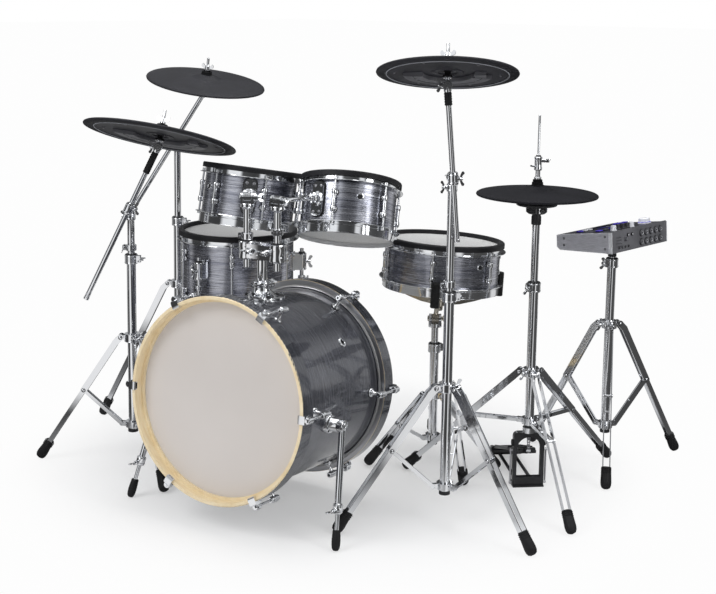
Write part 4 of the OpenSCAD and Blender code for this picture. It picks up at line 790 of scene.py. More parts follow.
# ---------------------------------------------------------------- drum fittings
STAND_UP = Matrix(((1, 0, 0), (0, 0, -1), (0, 1, 0)))
for name, (at, turn, r, depth, first, heights, span, hole) in DRUMS.items():
    s = Shape(at, turn)
    body = DRUM_BODY[name]
    for k in range(6):
        s.frame(at, turn @ spin_z(first + 60 * k))
        rod = r + 10
        for z in heights:
            half = span / 2
            # A slim lug: turned barrel ends on round feet, over a black gasket
            for e in (-1, 1):
                m = z + e * half
                s.lathe([(5.3, m - 6.6), (6.4, m - 6), (7, m - 4), (7.2, m), (7, m + 4), (6.4, m + 6), (5.3, m + 6.6)], (rod, 0, 0), seg=24)
                s.lathe([(0, -1), (7.6, -1), (7.6, 3.4), (6.6, 4.8), (4.8, 5.6), (4.4, 9.5), (0, 9.5)], (r + 0.2, 0, m), (1, 0, 0), 24)
                s.lathe([(0, -0.6), (8.4, -0.6), (8.6, 0.7), (7.8, 1.2), (0, 1.2)], (r + 0.1, 0, m), (1, 0, 0), 24, material=1)
                s.ring(5.3, 0.6, (rod, 0, z + e * (half + 7.2)), seg=20, sides=6)
        # The rods' washers and square heads on both flanges
        s.key_bolt((rod, 0, -24.4), (0, 0, 1), 4.9, 5)
        s.key_bolt((rod, 0, 24.4 - depth), (0, 0, -1), 4.9, 5)
    s.frame(at, turn)
    # Rolled edges of the metal hoops
    for z in (-25.8, 25.8 - depth):
        s.ring(r + 14, 1.3, (0, 0, z), seg=96, sides=8)
    s.ring(r + 2.2, 1.4, (0, 0, -depth), seg=96, sides=8)
    s.ring(r + 3.4, 0.7, (0, 0, 18.5 - depth), seg=96, sides=6)
    # The cable socket's grommet
    out = polar(1, hole)
    eye = Vector((0, 0, -0.4 * depth)) + out * (r - 1)
    s.lathe([(6.2, -4), (6.2, 2.6), (7, 3.4), (8.4, 3.2), (9.4, 1.8), (9.6, 0)], eye, out, 28)
    s.lathe([(0, 0), (6.2, 0), (6.2, 0.8), (3.4, 0.8), (3.2, -2), (0, -2)], eye, out, 24, material=1)
    s.done(name + "_fittings", body, chrome, nylon)

# Leg blocks of the floor tom: face plates and clamp bands over the CAD blocks
s = Shape()
for a in (30, 150, 270):
    s.frame((-348, 574, 500), spin_z(a))
    s.plate(rounded(30, 54, 6), 3.4, (158.6, 0, 23), facing((1, 0, 0), (0, 1, 0)), 1.2)
    for z in (1.6, 44.4):
        s.lathe([(5.8, z - 2), (12.6, z - 2), (13.2, z - 1), (13.2, z + 1), (12.6, z + 2), (5.8, z + 2)], (180, 0, 0), seg=32)
    s.lathe([(5.7, 46.4), (9.6, 46.6), (9.2, 50), (7, 51.4), (5.7, 51.5)], (180, 0, 0), seg=28, material=1)
    s.box((3, 1.4, 40), (191.4, 0, 23), None, 0.4, material=1)
s.done("leg_block_trim", "kit_base", chrome, nylon)
locks = Shape()
for k, a in enumerate((30, 150, 270)):
    s = Shape((-348, 574, 0), spin_z(a))
    for z in (36, 40):
        s.lathe([(5.6, z - 1.6), (8, z - 1.4), (8.6, z), (8, z + 1.4), (5.6, z + 1.6)], (180, 0, 0), seg=24)
    s.done("floor_leg_rings_" + "abc"[k], "floor_leg_" + "abc"[k], black_rubber, slot="foot_rubber")
    locks.frame((-348, 574, 0), spin_z(a))
    locks.lathe([(5.6, 470), (9.6, 470), (10.4, 471), (10.4, 481), (9.6, 482), (5.6, 482)], (180, 0, 0), seg=28)
    locks.rod((189, 0, 476), (1, 0, 0), 7, 2.8, 16, 0.6)
    locks.box((5, 4, 12), (197, 0, 476), None, 1.4)

# ---------------------------------------------------------------- tom holder
s = Shape()
saddle = []
axis_at, inverse = Vector((0, 0, 318)), BASS_TURN
for ring_r, lift in ((0.0, 7), (0.55, 7), (0.85, 6.2), (0.95, 4.6), (1.0, 1.2), (1.0, -1.5)):
    row = []
    for k in range(40):
        a = 2 * math.pi * k / 40
        around, along = 46 * ring_r * math.cos(a), 196 + 50 * ring_r * math.sin(a)
        t = around / 229
        row.append(s.vert(axis_at + BASS_TURN @ Vector(((229 + lift) * math.sin(t), -(229 + lift) * math.cos(t), along))))
    saddle.append(row)
for a, b in zip(saddle, saddle[1:]):
    for k in range(40):
        s.bm.faces.new((a[k], a[(k + 1) % 40], b[(k + 1) % 40], b[k]))
bmesh.ops.remove_doubles(s.bm, verts=s.bm.verts, dist=0.01)
s.frame((0, 195, 0))
s.lathe([(38, 534), (37, 541), (30, 544), (24.6, 548), (21.6, 554), (20.4, 560), (20.4, 561), (22.4, 562), (22.8, 564), (22.8, 570), (22.2, 572),
         (19, 573.4), (15, 574), (13, 576), (13, 626), (0, 626)], seg=44)
s.box((22, 7, 9), (22, -6, 567), spin_z(-20), 1.8)
s.box((22, 7, 9), (22, 6, 567), spin_z(-20), 1.8)
s.rod((30, -14, 566), (0, 1, 0), 26, 2.8, 16, 0.6)
for a in (30, 150, 210, 330):
    p = polar(36, a)
    s.lathe([(0, 3.6), (2, 3.5), (4.2, 2.4), (5, 0.4), (5, -2), (0, -2)], (p.x, p.y * 1.15, 540.5), seg=18, material=1)
# The clamping block: waisted middle between two rounded ends that close on the tubes
waist = [(x, 16.5 + 4 * abs(x / 45) ** 2.2) for x in (-34, -26, -17, -8, 0, 8, 17, 26, 34)]
s.plate(waist[::-1] + [(x, -y) for x, y in waist], 35, (0, 0, 647.5), None, 3.2)
for e in (-1, 1):
    s.lathe([(9.7, 625), (18.4, 625), (20.4, 626.4), (21, 629), (21, 638), (20.3, 640), (20.3, 654), (21, 656), (21, 665),
             (20.4, 667.6), (18.4, 669), (9.7, 669), (9.7, 625)], (45 * e, 0, 0), seg=44)
    s.lathe([(9.7, 669), (13.6, 669), (13.6, 671.6), (12.4, 672.6), (9.7, 672.8)], (45 * e, 0, 0), seg=32, material=1)
    s.box((1.8, 12, 43.4), (45 * e, 16.2, 647), None, 0.3, material=1)
    s.box((1.8, 1.6, 43.4), (45 * e, -20.6, 647), None, 0.3, material=1)
    s.rod((22 * e, -14, 647), (0, -1, 0), 7.2, 8, 26, 1)
    s.rod((22 * e, 16, 647), (0, 1, 0), 5.4, 6.4, 6, 0.8)
for e in (-1, 1):
    s.frame((229 * e - 6 * e, 138, 269), facing((e, 0, 0), UP))
    s.lathe([(0, -6), (21, -6), (22, -4), (22, 14.4), (20.8, 16.6), (17, 18), (16, 20), (16, 37), (15, 38.8), (5.3, 39), (5.3, 30), (0, 30)], seg=40)
    for k in range(4):
        s.lathe([(0, 2.2), (1.4, 2.2), (2.6, 1.2), (2.8, 0)], polar(18.6, 90 * k + 45, 16.8), seg=12, material=1)
s.done("holder", "kit_base", chrome, nylon, replaces=("tom_mount",))


# ---------------------------------------------------------------- tom posts and arms
def boss_of(name, bracket_turn):
    at, turn, r, depth = DRUMS[name][:4]
    out = turn @ polar(1, bracket_turn)
    return Vector(at) + turn @ Vector((0, 0, 4 - depth / 2)) + out * (r + 18.15), out, turn


for side, e, bracket_turn, lock in (("left", -1, 304.5, 681), ("right", 1, 262, 700)):
    boss, out, lean = boss_of(side + "_tom", bracket_turn)
    hub = Vector((45 * e, 195, 775))
    arm_turn = math.degrees(math.atan2(boss.y - hub.y, boss.x - hub.x))
    s = Shape((45 * e, 195, 0))
    s.lathe([(0, 603), (8.6, 603), (9.5, 604), (9.5, 748), (10.6, 749), (13, 751), (17, 752.6), (18, 754), (18, 761), (17, 762.6), (0, 762.6)], seg=36)
    s.frame((45 * e, 195, 0), spin_z(arm_turn))
    ear = [(-13, 762), (13, 762), (13, 775)] + [(13 * math.cos(math.pi * k / 12), 775 + 13 * math.sin(math.pi * k / 12)) for k in range(1, 12)] + [(-13, 775)]
    for side_y in (-13.4, 13.4):
        s.plate(ear, 5.8, (0, side_y, 0), STAND_UP, 1.2)
    # The memory lock: split ring, ears and its screw; it stays with the holder
    locks.frame((45 * e, 195, lock), spin_z(-149.2 if e < 0 else -60))
    locks.lathe([(9.6, -8), (13.6, -8), (14.4, -7), (14.4, 7), (13.6, 8), (9.6, 8), (9.6, -8)], seg=32)
    for y in (-1, 1):
        locks.box((12, 5, 13), (16, 4.2 * y, 0), None, 1.6)
    locks.rod((17.6, -9, 0), (0, 1, 0), 18.5, 2.8, 16, 0.6, material=1)
    locks.box((5.6, 5.6, 6), (17.6, -11, 0), None, 0.8)
    s.done(side + "_tom_post", side + "_post", chrome, replaces=(side + "_post",))
    # Arm: toothed hub on its pin, wing nut, rod, polished ball and the plate on the shell
    s = Shape(hub, spin_z(arm_turn))
    s.rod((0, -10, 0), (0, 1, 0), 20, 12, 36, 1.2)
    for k in range(20):
        s.box((1.6, 19, 1.6), (12 * math.cos(math.radians(18 * k)), 0, 12 * math.sin(math.radians(18 * k))), None, 0.4)
    s.rod((0, -21, 0), (0, 1, 0), 42, 5, 24, 0.8)
    s.rod((0, 17, 0), (0, 1, 0), 3.6, 8.4, 6, 0.8)
    s.rod((0, -16.8, 0), (0, -1, 0), 8, 8.6, 28, 1)
    s.wings((0, -24.6, 0), (0, -1, 0), (1, 0, 0.5), 14, 6, 9.4)
    s.frame()
    way = (boss - hub).normalized()
    length = (boss - hub).length
    s.frame(hub, facing(way, UP))
    s.lathe([(0, 9), (8.4, 10), (8.4, 15), (7, 17), (6, 18), (6, length - 22), (7.4, length - 21), (9, length - 18), (9.4, length - 11), (8, length - 8), (0, length - 6)], seg=28)
    for z in (24, 30, 36):
        s.ring(6, 0.5, (0, 0, z), seg=24, sides=6, material=2)
    s.frame()
    s.ball(13, boss, 30, axis=way)
    s.ring(12.2, 1.6, boss - way * 5, way, 32, 8)
    r = DRUMS[side + "_tom"][2]
    plate_turn = facing(out, lean @ UP)
    base = boss - out * 18.15
    s.plate(rounded(88, 34, 13), 6, base + out * 4.2, plate_turn, 1.8)
    s.plate(rounded(92, 38, 14), 2.4, base + out * 0.9, plate_turn, 0.8, material=1)
    s.lathe([(0, 4), (19, 4), (19, 7), (17.4, 9.4), (13.4, 11), (12.6, 15), (0, 17)], base, out, 36)
    for k in (-1, 1):
        for j in (-1, 1):
            p = base + out * 7 + plate_turn @ Vector((33 * k, 9 * j, 0))
            s.lathe([(0, 2.4), (1.6, 2.4), (3.4, 1.6), (4, 0), (0, 0)], p, out, 16, material=2)
    s.done(side + "_tom_arm", side + "_tom", chrome, nylon, knurled, replaces=(side + "_arm",))

locks.done("memory_locks", "kit_base", chrome, knurled)

# ---------------------------------------------------------------- spurs
for side, e in (("left", -1), ("right", 1)):
    hub = Vector((e * 269.4, 138, 269))
    foot = Vector((e * 305, 58, 14))
    way = (foot - hub).normalized()
    length = (foot - hub).length
    s = Shape(hub, facing((e, 0, 0), UP))
    s.lathe([(0, -29), (4.9, -29), (5, -7), (14.2, -7), (15, -6), (15, 6), (13.6, 7.4), (9, 8), (8.4, 9.6), (4, 10), (3.4, 8.4), (0, 8.4)], seg=36)
    for k in range(18):
        s.box((1.8, 1.6, 12), polar(14.8, 20 * k), spin_z(20 * k), 0.4)
    s.frame(hub, facing(way, (e, 0, 0)))
    low = length * 0.72
    s.lathe([(0, 4), (8, 6), (8, low - 18), (10, low - 17.4), (11.4, low - 16), (11.5, low + 2), (10.4, low + 4), (7.6, low + 6), (5.8, low + 6.6),
             (5, low + 7), (5, length - 24), (0, length - 22)], seg=28)
    for z in (low - 13, low - 1):
        s.ring(11.5, 0.8, (0, 0, z), seg=30, sides=6)
    s.lathe([(0, length - 34), (8.6, length - 33), (9.4, length - 30), (9.4, length - 24), (10, length - 22), (10, length - 16), (10.4, length - 14),
             (10.4, length - 6), (10, length + 2), (8.6, length + 9), (5.6, length + 13), (0, length + 14)], seg=28, material=1)
    s.frame()
    at = hub + way * (low - 6)
    s.rod(at, (0, -1, 0), 20, 4.6, 20, 0.6)
    s.wings(at + Vector((0, -18, 0)), (0, -1, 0), (1, 0, 0.3), 13, 5.4, 9)
    for v in s.bm.verts:
        v.co.z = max(v.co.z, 0.0)
    s.done(side + "_spur_rod", side + "_spur", chrome, black_rubber, replaces=(side + "_spur",))

# ---------------------------------------------------------------- snare basket
at, turn, r, depth = DRUMS["snare"][:4]
bottom = Vector(at) + turn @ Vector((0, 0, -depth))
hub = Vector((190, 752, 392))
s = Shape(hub, spin_z(120.8))
s.rod((0, -10, 0), (0, 1, 0), 20, 12, 36, 1.2)
for k in range(20):
    s.box((1.6, 19, 1.6), (12 * math.cos(math.radians(18 * k)), 0, 12 * math.sin(math.radians(18 * k))), None, 0.4)
s.rod((0, -21, 0), (0, 1, 0), 42, 5, 24, 0.8)
s.rod((0, 17, 0), (0, 1, 0), 3.6, 8.4, 6, 0.8)
s.wings((0, -17.4, 0), (0, -1, 0), (1, 0, 0.4), 13, 5.6, 9)
s.frame()
s.tube([hub, hub + (bottom - hub) * 0.5, bottom + turn @ Vector((0, 0, -34))], 6.5, 24)
s.frame(bottom, turn)
s.lathe([(0, -47), (19, -47), (20, -46), (20, -35.4), (19, -34), (15.6, -33), (15, -31), (15, -10), (13.6, -8), (0, -8)], seg=40)
s.ring(15, 1.2, (0, 0, -20), seg=36, sides=8)
s.lathe([(0, -62), (10, -62), (11.4, -60), (12, -50), (9, -47), (0, -47)], seg=8)
for k in range(3):
    s.frame(bottom, turn @ spin_z(173 + 120 * k))
    for y in (-4.2, 4.2):
        s.plate(strap_outline([(12, -41), (60, -39), (104, -31), (128, -25)], 12), 2.6, (0, y, 0), STAND_UP, 0.7)
    s.plate(strap_outline([(112, -29), (150, -24), (170, -20), (181, -13)], 10), 5.4, (0, 0, 0), STAND_UP, 1.2)
    s.rod((120, -7, -27), (0, 1, 0), 14, 3.2, 16, 0.6, material=2)
    s.tube([(181, 0, -16), (183, 0, -8), (183, 0, 40)], 4.6, 16)
    s.ring(8, 2, (182.4, 0, -19.5), seg=24, sides=8)
    grip = [(4.6, -22), (10.6, -22), (12, -20.4)]
    for j in range(10):
        z = -18 + 6 * j
        grip += [(12, z), (12, z + 3.4), (11.4, z + 4), (11.4, z + 5)]
    grip += [(12, 42), (11.2, 44.6), (8, 46), (0, 46)]
    s.lathe(grip, (183, 0, 0), seg=30, material=1)
s.done("basket", "snare", warm_chrome, black_rubber, knurled, replaces=("snare_basket",))

# ---------------------------------------------------------------- hi-hat
s = Shape(HAT)
# The tube is bright up to the black sensor, whose cup carries the pad
s.lathe([(4.5, 435), (9, 435), (9.5, 436), (9.5, 697), (4.5, 697), (4.5, 435)], seg=36)
s.lathe([(4.5, 696), (12, 696), (12.6, 698), (12.6, 716), (11, 720), (11, 723), (21, 724), (25, 727), (26.6, 731), (26.6, 742), (29, 744),
         (50.6, 745.4), (52, 747), (52, 750.4), (50, 752.6), (42, 753), (40, 751.4), (24, 751), (22, 753), (12, 753.4), (11, 756), (4.5, 756)],
        seg=56, material=1)
for z, r in ((729.5, 26.4), (735, 26.8), (740, 26.8)):
    s.ring(r, 0.8, (0, 0, z), seg=56, sides=6, material=1)
for k in range(8):
    s.box((9, 2.4, 4), polar(47, 45 * k, 752.4), spin_z(45 * k), 0.7, material=1)
s.rod(polar(25, -40, 734), polar(1, -40), 9, 5, 24, 0.8, material=1)
s.lathe([(3.2, 0), (4.6, 0), (4.6, 1.2), (3.2, 1.2), (3.2, 0)], polar(33.6, -40, 734), polar(1, -40), 20, material=0)
for k in (-1, 1):
    s.box((2.2, 3.4, 13), polar(26.9, -59 + 9 * k, 734), spin_z(-59 + 9 * k), 0.6, material=0)
s.done("hat_tube", "hat_post", chrome, nylon, replaces=("hat_post",))

s = Shape(HAT)
s.lathe([(0, 134), (3.4, 134), (4, 135), (4, 869), (3.6, 870), (3, 871), (3, 975), (2, 976), (0, 976)], seg=20)
s.lathe([(0, 126), (4.8, 126), (5.5, 127), (5.5, 141), (4.8, 142), (0, 142)], seg=6, material=1)
for k in range(5):
    # Chain links: two side plates on pins
    z = 99.5 + 6.6 * k
    across = spin_z(127.5)
    for y in (-2.6, 2.6):
        s.plate(strap_outline([(0, -2.6), (0, 2.6)], 5.4), 1.1, across @ Vector((0, y + (0.7 if k % 2 else -0.7) * (1 if y > 0 else -1), z + 1.6)), across @ STAND_UP, 0.3, material=1)
    s.rod(across @ Vector((0, -4, z - 1.6)), across @ Vector((0, 1, 0)), 8, 1.5, 12, 0.3, material=0)
top = Vector((0, 0, 786))
s.frame(HAT + top)
s.lathe([(4, -14), (6.4, -14), (6.6, -12), (9.8, -8), (11.4, -4), (11.9, 0), (11.4, 4), (9.4, 7.6), (7, 9), (6, 10), (6, 21), (4, 21)], seg=28, material=2)
s.lathe([(4, 20.4), (12, 20.6), (12.4, 22), (12, 25.6), (4, 26)], seg=30, material=3)
s.lathe([(4, 26), (8, 26.2), (9.4, 27.4), (9.4, 31), (8, 32.4), (6.2, 33), (6.2, 49), (4, 49)], seg=24)
s.lathe([(4, 49), (8.6, 49.4), (10, 51), (10.2, 56), (9.2, 58), (9.2, 78), (10.2, 80), (10, 83), (8.4, 84), (4, 84)], seg=30)
s.lathe([(4, 84), (6.6, 84.2), (6.6, 87), (5.4, 88), (4, 88)], seg=20, material=2)
s.rod((8 * TO_SIDE) + Vector((0, 0, 74)), TO_SIDE, 9, 4.4, 18, 0.6)
s.wings(15.6 * TO_SIDE + Vector((0, 0, 74)), TO_SIDE, TO_CAMERA + 0.4 * UP, 11, 5, 9)
s.rod(-8 * TO_SIDE + Vector((0, 0, 60)), -TO_SIDE, 7, 2.6, 14, 0.5)
s.box((5, 3.2, 9), -17 * TO_SIDE + Vector((0, 0, 60)), facing(TO_CAMERA, TO_SIDE), 0.9)
s.done("hat_pull_rod", "hat_rod", chrome, knurled, nylon, felt, replaces=("hat_rod",))

# Footboard: ribbed plate with slots, heel hinge and the toe's yoke
rise = 76.0
length = math.hypot(240, rise)
slope = math.atan2(rise, 240)
s = Shape(HAT, HEEL)
tilt = Matrix(((-math.cos(slope), 0, math.sin(slope)), (0, 1, 0), (math.sin(slope), 0, math.cos(slope)))) @ Matrix.Diagonal((1, -1, 1))
board = [(2, -37), (length * 0.7, -37), (length - 4, -23), (length, -19), (length, 19), (length - 4, 23), (length * 0.7, 37), (2, 37)]
s.plate([(x, y) for x, y in board], 5.6, Vector((250, 0, 16)) + tilt @ Vector((0, 0, 3)), tilt, 1.6)
for k in range(9):
    x = 30 + 20 * k
    wide = 62 if x < length * 0.66 else 46
    s.box((5, wide, 3.2), Vector((250, 0, 16)) + tilt @ Vector((x, 0, 6.2)), tilt, 1.1, material=1)
for y in (-32, 32):
    s.box((length * 0.64, 3.6, 5), Vector((250, 0, 16)) + tilt @ Vector((length * 0.34 + 6, y, 6.6)), tilt, 1.2)
s.plate(rounded(48, 22, 10), 2.2, Vector((250, 0, 16)) + tilt @ Vector((length * 0.8, 0, 6.8)), tilt, 0.8, material=1)
s.rod((250, -45, 16), (0, 1, 0), 90, 3, 18, 0.5, material=2)
s.rod((250, -37, 16), (0, 1, 0), 74, 7.2, 26, 1)
s.rod((14, -24, 88), (0, 1, 0), 48, 5.2, 22, 1)
s.rod((0, -6, 94), (0, 1, 0), 12, 3.4, 18, 0.4, material=2)
s.box((16, 5, 9), (7, -5.6, 92), None, 1.2)
s.box((16, 5, 9), (7, 5.6, 92), None, 1.2)
s.done("pedal_board", "footboard", black_metal, black_rubber, chrome, slot="pedal_metal", replaces=("footboard",))

# Frame trim of the pedal: spring tension wheel, side rods and rubber strip
s = Shape(HAT, HEEL)
for e in (-1, 1):
    s.lathe([(0, -2), (7, -2), (8.6, -0.6), (8.6, 3.2), (7.6, 4.2), (0, 4.2)], (0, 41 * e, 118), (0, e, 0), 24)
    for k in range(12):
        a = 30 * k
        s.box((1.8, 4.4, 1.8), (8.4 * math.cos(math.radians(a)), 41 * e + 1.4 * e, 118 + 8.4 * math.sin(math.radians(a))), None, 0.5)
    s.rod((0, (46.5 if e > 0 else -46.5), 6), (0, 0, 1), 96, 2.4, 14, 0.5, material=1)
    s.rod((0, 41 * e, 98), (0, e, 0), 8.4, 3.4, 16, 0.5, material=1)
    s.rod((0, 41 * e, 10), (0, e, 0), 8.4, 3.4, 16, 0.5, material=1)
s.box((26, 80, 1.4), (22, 0, 4.6), None, 0.4, material=0)
for e in (-1, 1):
    s.box((200, 5, 1.6), (130, 20 * e, 4.6), None, 0.5, material=1)
s.done("pedal_trim", "kit_base", black_rubber, steel)

# ---------------------------------------------------------------- sound module
CASE_AT = Vector((606, 985, 606))
SLOPE = math.degrees(math.atan2(13, 154))


def top_of(y):
    return 56 - (y + 86) * math.tan(math.radians(SLOPE))


s = Shape(CASE_AT, CASE_TURN)
side_on = Matrix(((0, 0, 1), (1, 0, 0), (0, 1, 0)))
profile = [(-86, 0), (76, 0), (86, 8), (86, 40), (68, 43), (-86, 56)]
inset = [(-77, 1.8), (75, 1.8), (84, 9), (84, 38.6), (67.6, 41), (-77, 53.1)]
for e in (-1, 1):
    s.plate(profile, 3, (137.3 * e, 0, 0), side_on, 0.9, material=0)
    s.plate(inset, 3.4, (138 * e, 0, 0), side_on, 0.9, material=1)
    for p in ((-66, 12), (-66, 44), (62, 14), (62, 32)):
        s.lathe([(0, -1), (2.6, -1), (3.2, 0), (3.2, 0.8), (1.6, 1), (1.4, 0.2), (0, 0.2)], (139.3 * e, p[0], p[1]), (e, 0, 0), 16, material=2)
# Raised lip along the back edge, the panel seam and the screen's bezel
lay = Matrix.Rotation(math.radians(-SLOPE), 3, "X")
s.box((268, 3, 3), (0, -84, top_of(-84) + 0.9), lay, 0.8, material=3)
s.box((268, 1.2, 1.4), (0, 67, top_of(67) + 0.2), lay, 0.3, material=2)
for p, size in (((0, 9, 0), (84, 3, 3)), ((0, 47.5, 0), (84, 3, 3)), ((-40.6, 28, 0), (3, 41, 3)), ((40.6, 28, 0), (3, 41, 3))):
    s.box(size, (p[0], p[1], top_of(p[1]) + 1), lay, 0.8, material=2)
# Jack face: recessed frame lines, small knobs and the vents beside the jacks
s.box((140, 1.2, 1.2), (54, -86.2, 51), None, 0.3, material=3)
s.box((140, 1.2, 1.2), (54, -86.2, 3.6), None, 0.3, material=3)
for k in range(2):
    s.rod((-62 + 20 * k, -86, 42), (0, -1, 0), 3.4, 4.4, 22, 0.7, material=2)
    s.rod((-62 + 20 * k, -89, 42), (0, -1, 0), 1.2, 2, 14, 0.3, material=0)
for k in range(4):
    s.rod((-104 + 15 * k, -86, 12), (0, -1, 0), 1.6, 3.6, 20, 0.5, material=2)
s.done("case_trim", "module", silver_edge, case_cheek, black_metal, case_dark, slot="module_body")

s = Shape(CASE_AT, CASE_TURN)
for k in range(5):
    at = Vector((-88 + 22 * k, -60, top_of(-60)))
    kind = 1 if k in (0, 4) else 0
    s.frame(CASE_AT + CASE_TURN @ at, CASE_TURN @ lay)
    s.lathe([(0, 0.15), (8.5, 0.15), (8.5, 2.4), (7.2, 3.2), (6.8, 4), (6.4, 13), (5.6, 14.4), (0, 14.6)], seg=28, material=kind)
    for j in range(12):
        s.box((1.2, 1, 8.6), polar(6.7, 30 * j, 8.6), spin_z(30 * j), 0.3, material=kind)
    s.box((1.2, 5, 0.8), (0, 3, 14.6), None, 0.2, material=2)
s.frame(CASE_AT + CASE_TURN @ Vector((92, -44, top_of(-44))), CASE_TURN @ lay)
s.lathe([(0, 0.15), (18, 0.15), (18, 2.6), (16.4, 4), (15.2, 4.6), (14.6, 13), (13.4, 14.6), (9, 15.4), (0, 15.2)], seg=40, material=1)
s.ring(16.8, 0.9, (0, 0, 3.6), seg=40, sides=8, material=3)
for j in range(20):
    s.box((1.4, 1.2, 8), polar(14.9, 18 * j, 8.8), spin_z(18 * j), 0.3, material=1)
for k in range(6):
    s.frame(CASE_AT + CASE_TURN @ Vector((-104 + 30 * k, -26, top_of(-26))), CASE_TURN @ lay)
    s.box((21.5, 13.5, 1.6), (0, 0, 0.95), None, 0.5, material=2)
    s.box((19, 11, 3), (0, 0, 2.8), None, 1.1, material=4 if k in (1, 4) else 3)
for e in (-1, 1):
    for k in range(3):
        s.frame(CASE_AT + CASE_TURN @ Vector((e * (66 + 22 * k), 30, top_of(30))), CASE_TURN @ lay)
        s.box((16, 16, 1.4), (0, 0, 0.85), None, 0.5, material=2)
        s.box((13, 13, 3.4), (0, 0, 2.9), None, 1.3, material=1 if e < 0 and k < 2 else 3)
s.frame(CASE_AT + CASE_TURN @ Vector((0, 28, top_of(28) - 1.4)), CASE_TURN @ lay)
s.box((74, 32, 2), (0, 0, -0.2), None, 0.5, material=5)
s.done("controls", "module", key_dark, key_white, black_metal, key_blue, key_grey, screen, slot="module_keys", replaces=("module_controls",))

s = Shape(CASE_AT, CASE_TURN)
for k in range(5):
    for z in (15, 39):
        at = (6 + 24 * k, -86, z)
        s.lathe([(3.3, -15), (8, -15), (8, -1), (9.6, -1), (9.8, 0), (9.8, 1.2), (9, 2), (8.2, 2.2)], at, (0, -1, 0), 30, material=1)
        s.lathe([(8.2, 2.2), (7.6, 4), (4.4, 4.2), (4.2, 3), (3.3, 2.6), (3.3, -15)], at, (0, -1, 0), 8, material=0)
        s.ring(3.9, 0.6, (at[0], -89.4, z), (0, 1, 0), 20, 6, material=2)
s.done("jacks", "module", case_dark, black_metal, silver_edge, slot="jack_metal", replaces=("module_jacks",))


def give(node, *materials):
    mesh = nodes[node].data
    mesh.materials.clear()
    for m in materials:
        mesh.materials.append(m)


for n in nodes:
    give(n, chrome)
for d, (at, turn, r, depth, first, heights, span, hole) in DRUMS.items():
    origin = place(*at)
    give(d + "_shell", wrap(d + "_wrap", origin, turn, DARK, LIGHT))
    give(d + "_heads", mesh_cloth(d + "_mesh", origin, turn))
    give(d + "_rim", rim_rubber)
give("bass_shell", bass_wrap)
give("bass_front_head", bass_film)
give("bass_rear_head", mesh_cloth("bass_mesh", BASS_AT, BASS_TURN))
for n in ("bass_front_hoop", "bass_rear_hoop"):
    give(n, wood, hoop_wrap)
    inverse = BASS_TURN.inverted()
    for face in nodes[n].data.polygons:
        p, v = inverse @ (Vector(face.center) - BASS_AT), inverse @ Vector(face.normal)
        out = (p.x * v.x + p.y * v.y) / max(1e-6, math.hypot(p.x, p.y))
        face.material_index = 1 if out > 0.8 and math.hypot(p.x, p.y) > 0.2475 else 0
give("snare_basket", warm_chrome)
give("module_case", case_dark, case_cheek, case_top)
inverse = CASE_TURN.inverted()
for face in nodes["module_case"].data.polygons:
    v = inverse @ Vector(face.normal)
    face.material_index = 1 if abs(v.x) > 0.9 else 2 if v.z > 0.5 else 0
give("module_jacks", black_metal)
give("footboard", black_metal)
# The module's tube is black above its sleeve, and the pedal's frame and base are black
give("module_post", chrome, black_metal)
for face in nodes["module_post"].data.polygons:
    face.material_index = 1 if face.center.z > 0.571 else 0
give("hat_tripod", chrome, black_metal)
spin = Matrix.Rotation(math.radians(-127.5), 3, "Z")
pole = place(508, 684, 0)
for face in nodes["hat_tripod"].data.polygons:
    p = 1000 * (spin @ (Vector(face.center) - pole))
    inside = abs(p.x) < 9.5 and abs(p.y) < 42 and p.z < 147
    base = p.z < 4.5 and -15 < p.x < 300 and abs(p.y) < 45
    heel = p.z < 26 and abs(p.x - 250) < 12 and abs(p.y) < 46
    face.material_index = 1 if inside or base or heel else 0
give("hat_rod", chrome, knurled)
for face in nodes["hat_rod"].data.polygons:
    face.material_index = 1 if face.center.z < 0.142 else 0
for n in ("floor_leg_a", "floor_leg_b", "floor_leg_c"):
    give(n, chrome, black_rubber)
    for face in nodes[n].data.polygons:
        face.material_index = 1 if face.center.z < 0.0345 else 0

# ---------------------------------------------------------------- floor and light
floor_mesh = bpy.data.meshes.new("floor")
floor_mesh.from_pydata([(-40, -12, 0), (40, -12, 0), (40, 60, 0), (-40, 60, 0)], [], [(0, 1, 2, 3)])
floor = bpy.data.objects.new("floor", floor_mesh)
bpy.context.scene.collection.objects.link(floor)
# What metal shows: soft bright panels between dark walls, placed by their compass angle in degrees
PANELS = [
    (-180, 0.08), (-174, 0.6), (-163, 0.6), (-157, 0.06), (-121, 0.05), (-112, 0.95), (-84, 1.0), (-77, 0.08),
    (-48, 0.05), (-38, 0.08), (-33, 0.85), (-25, 0.85), (-19, 0.1), (20, 0.07), (46, 0.12), (54, 0.8), (68, 0.75),
    (78, 0.1), (120, 0.06), (130, 0.45), (150, 0.4), (158, 0.08), (180, 0.08),
]


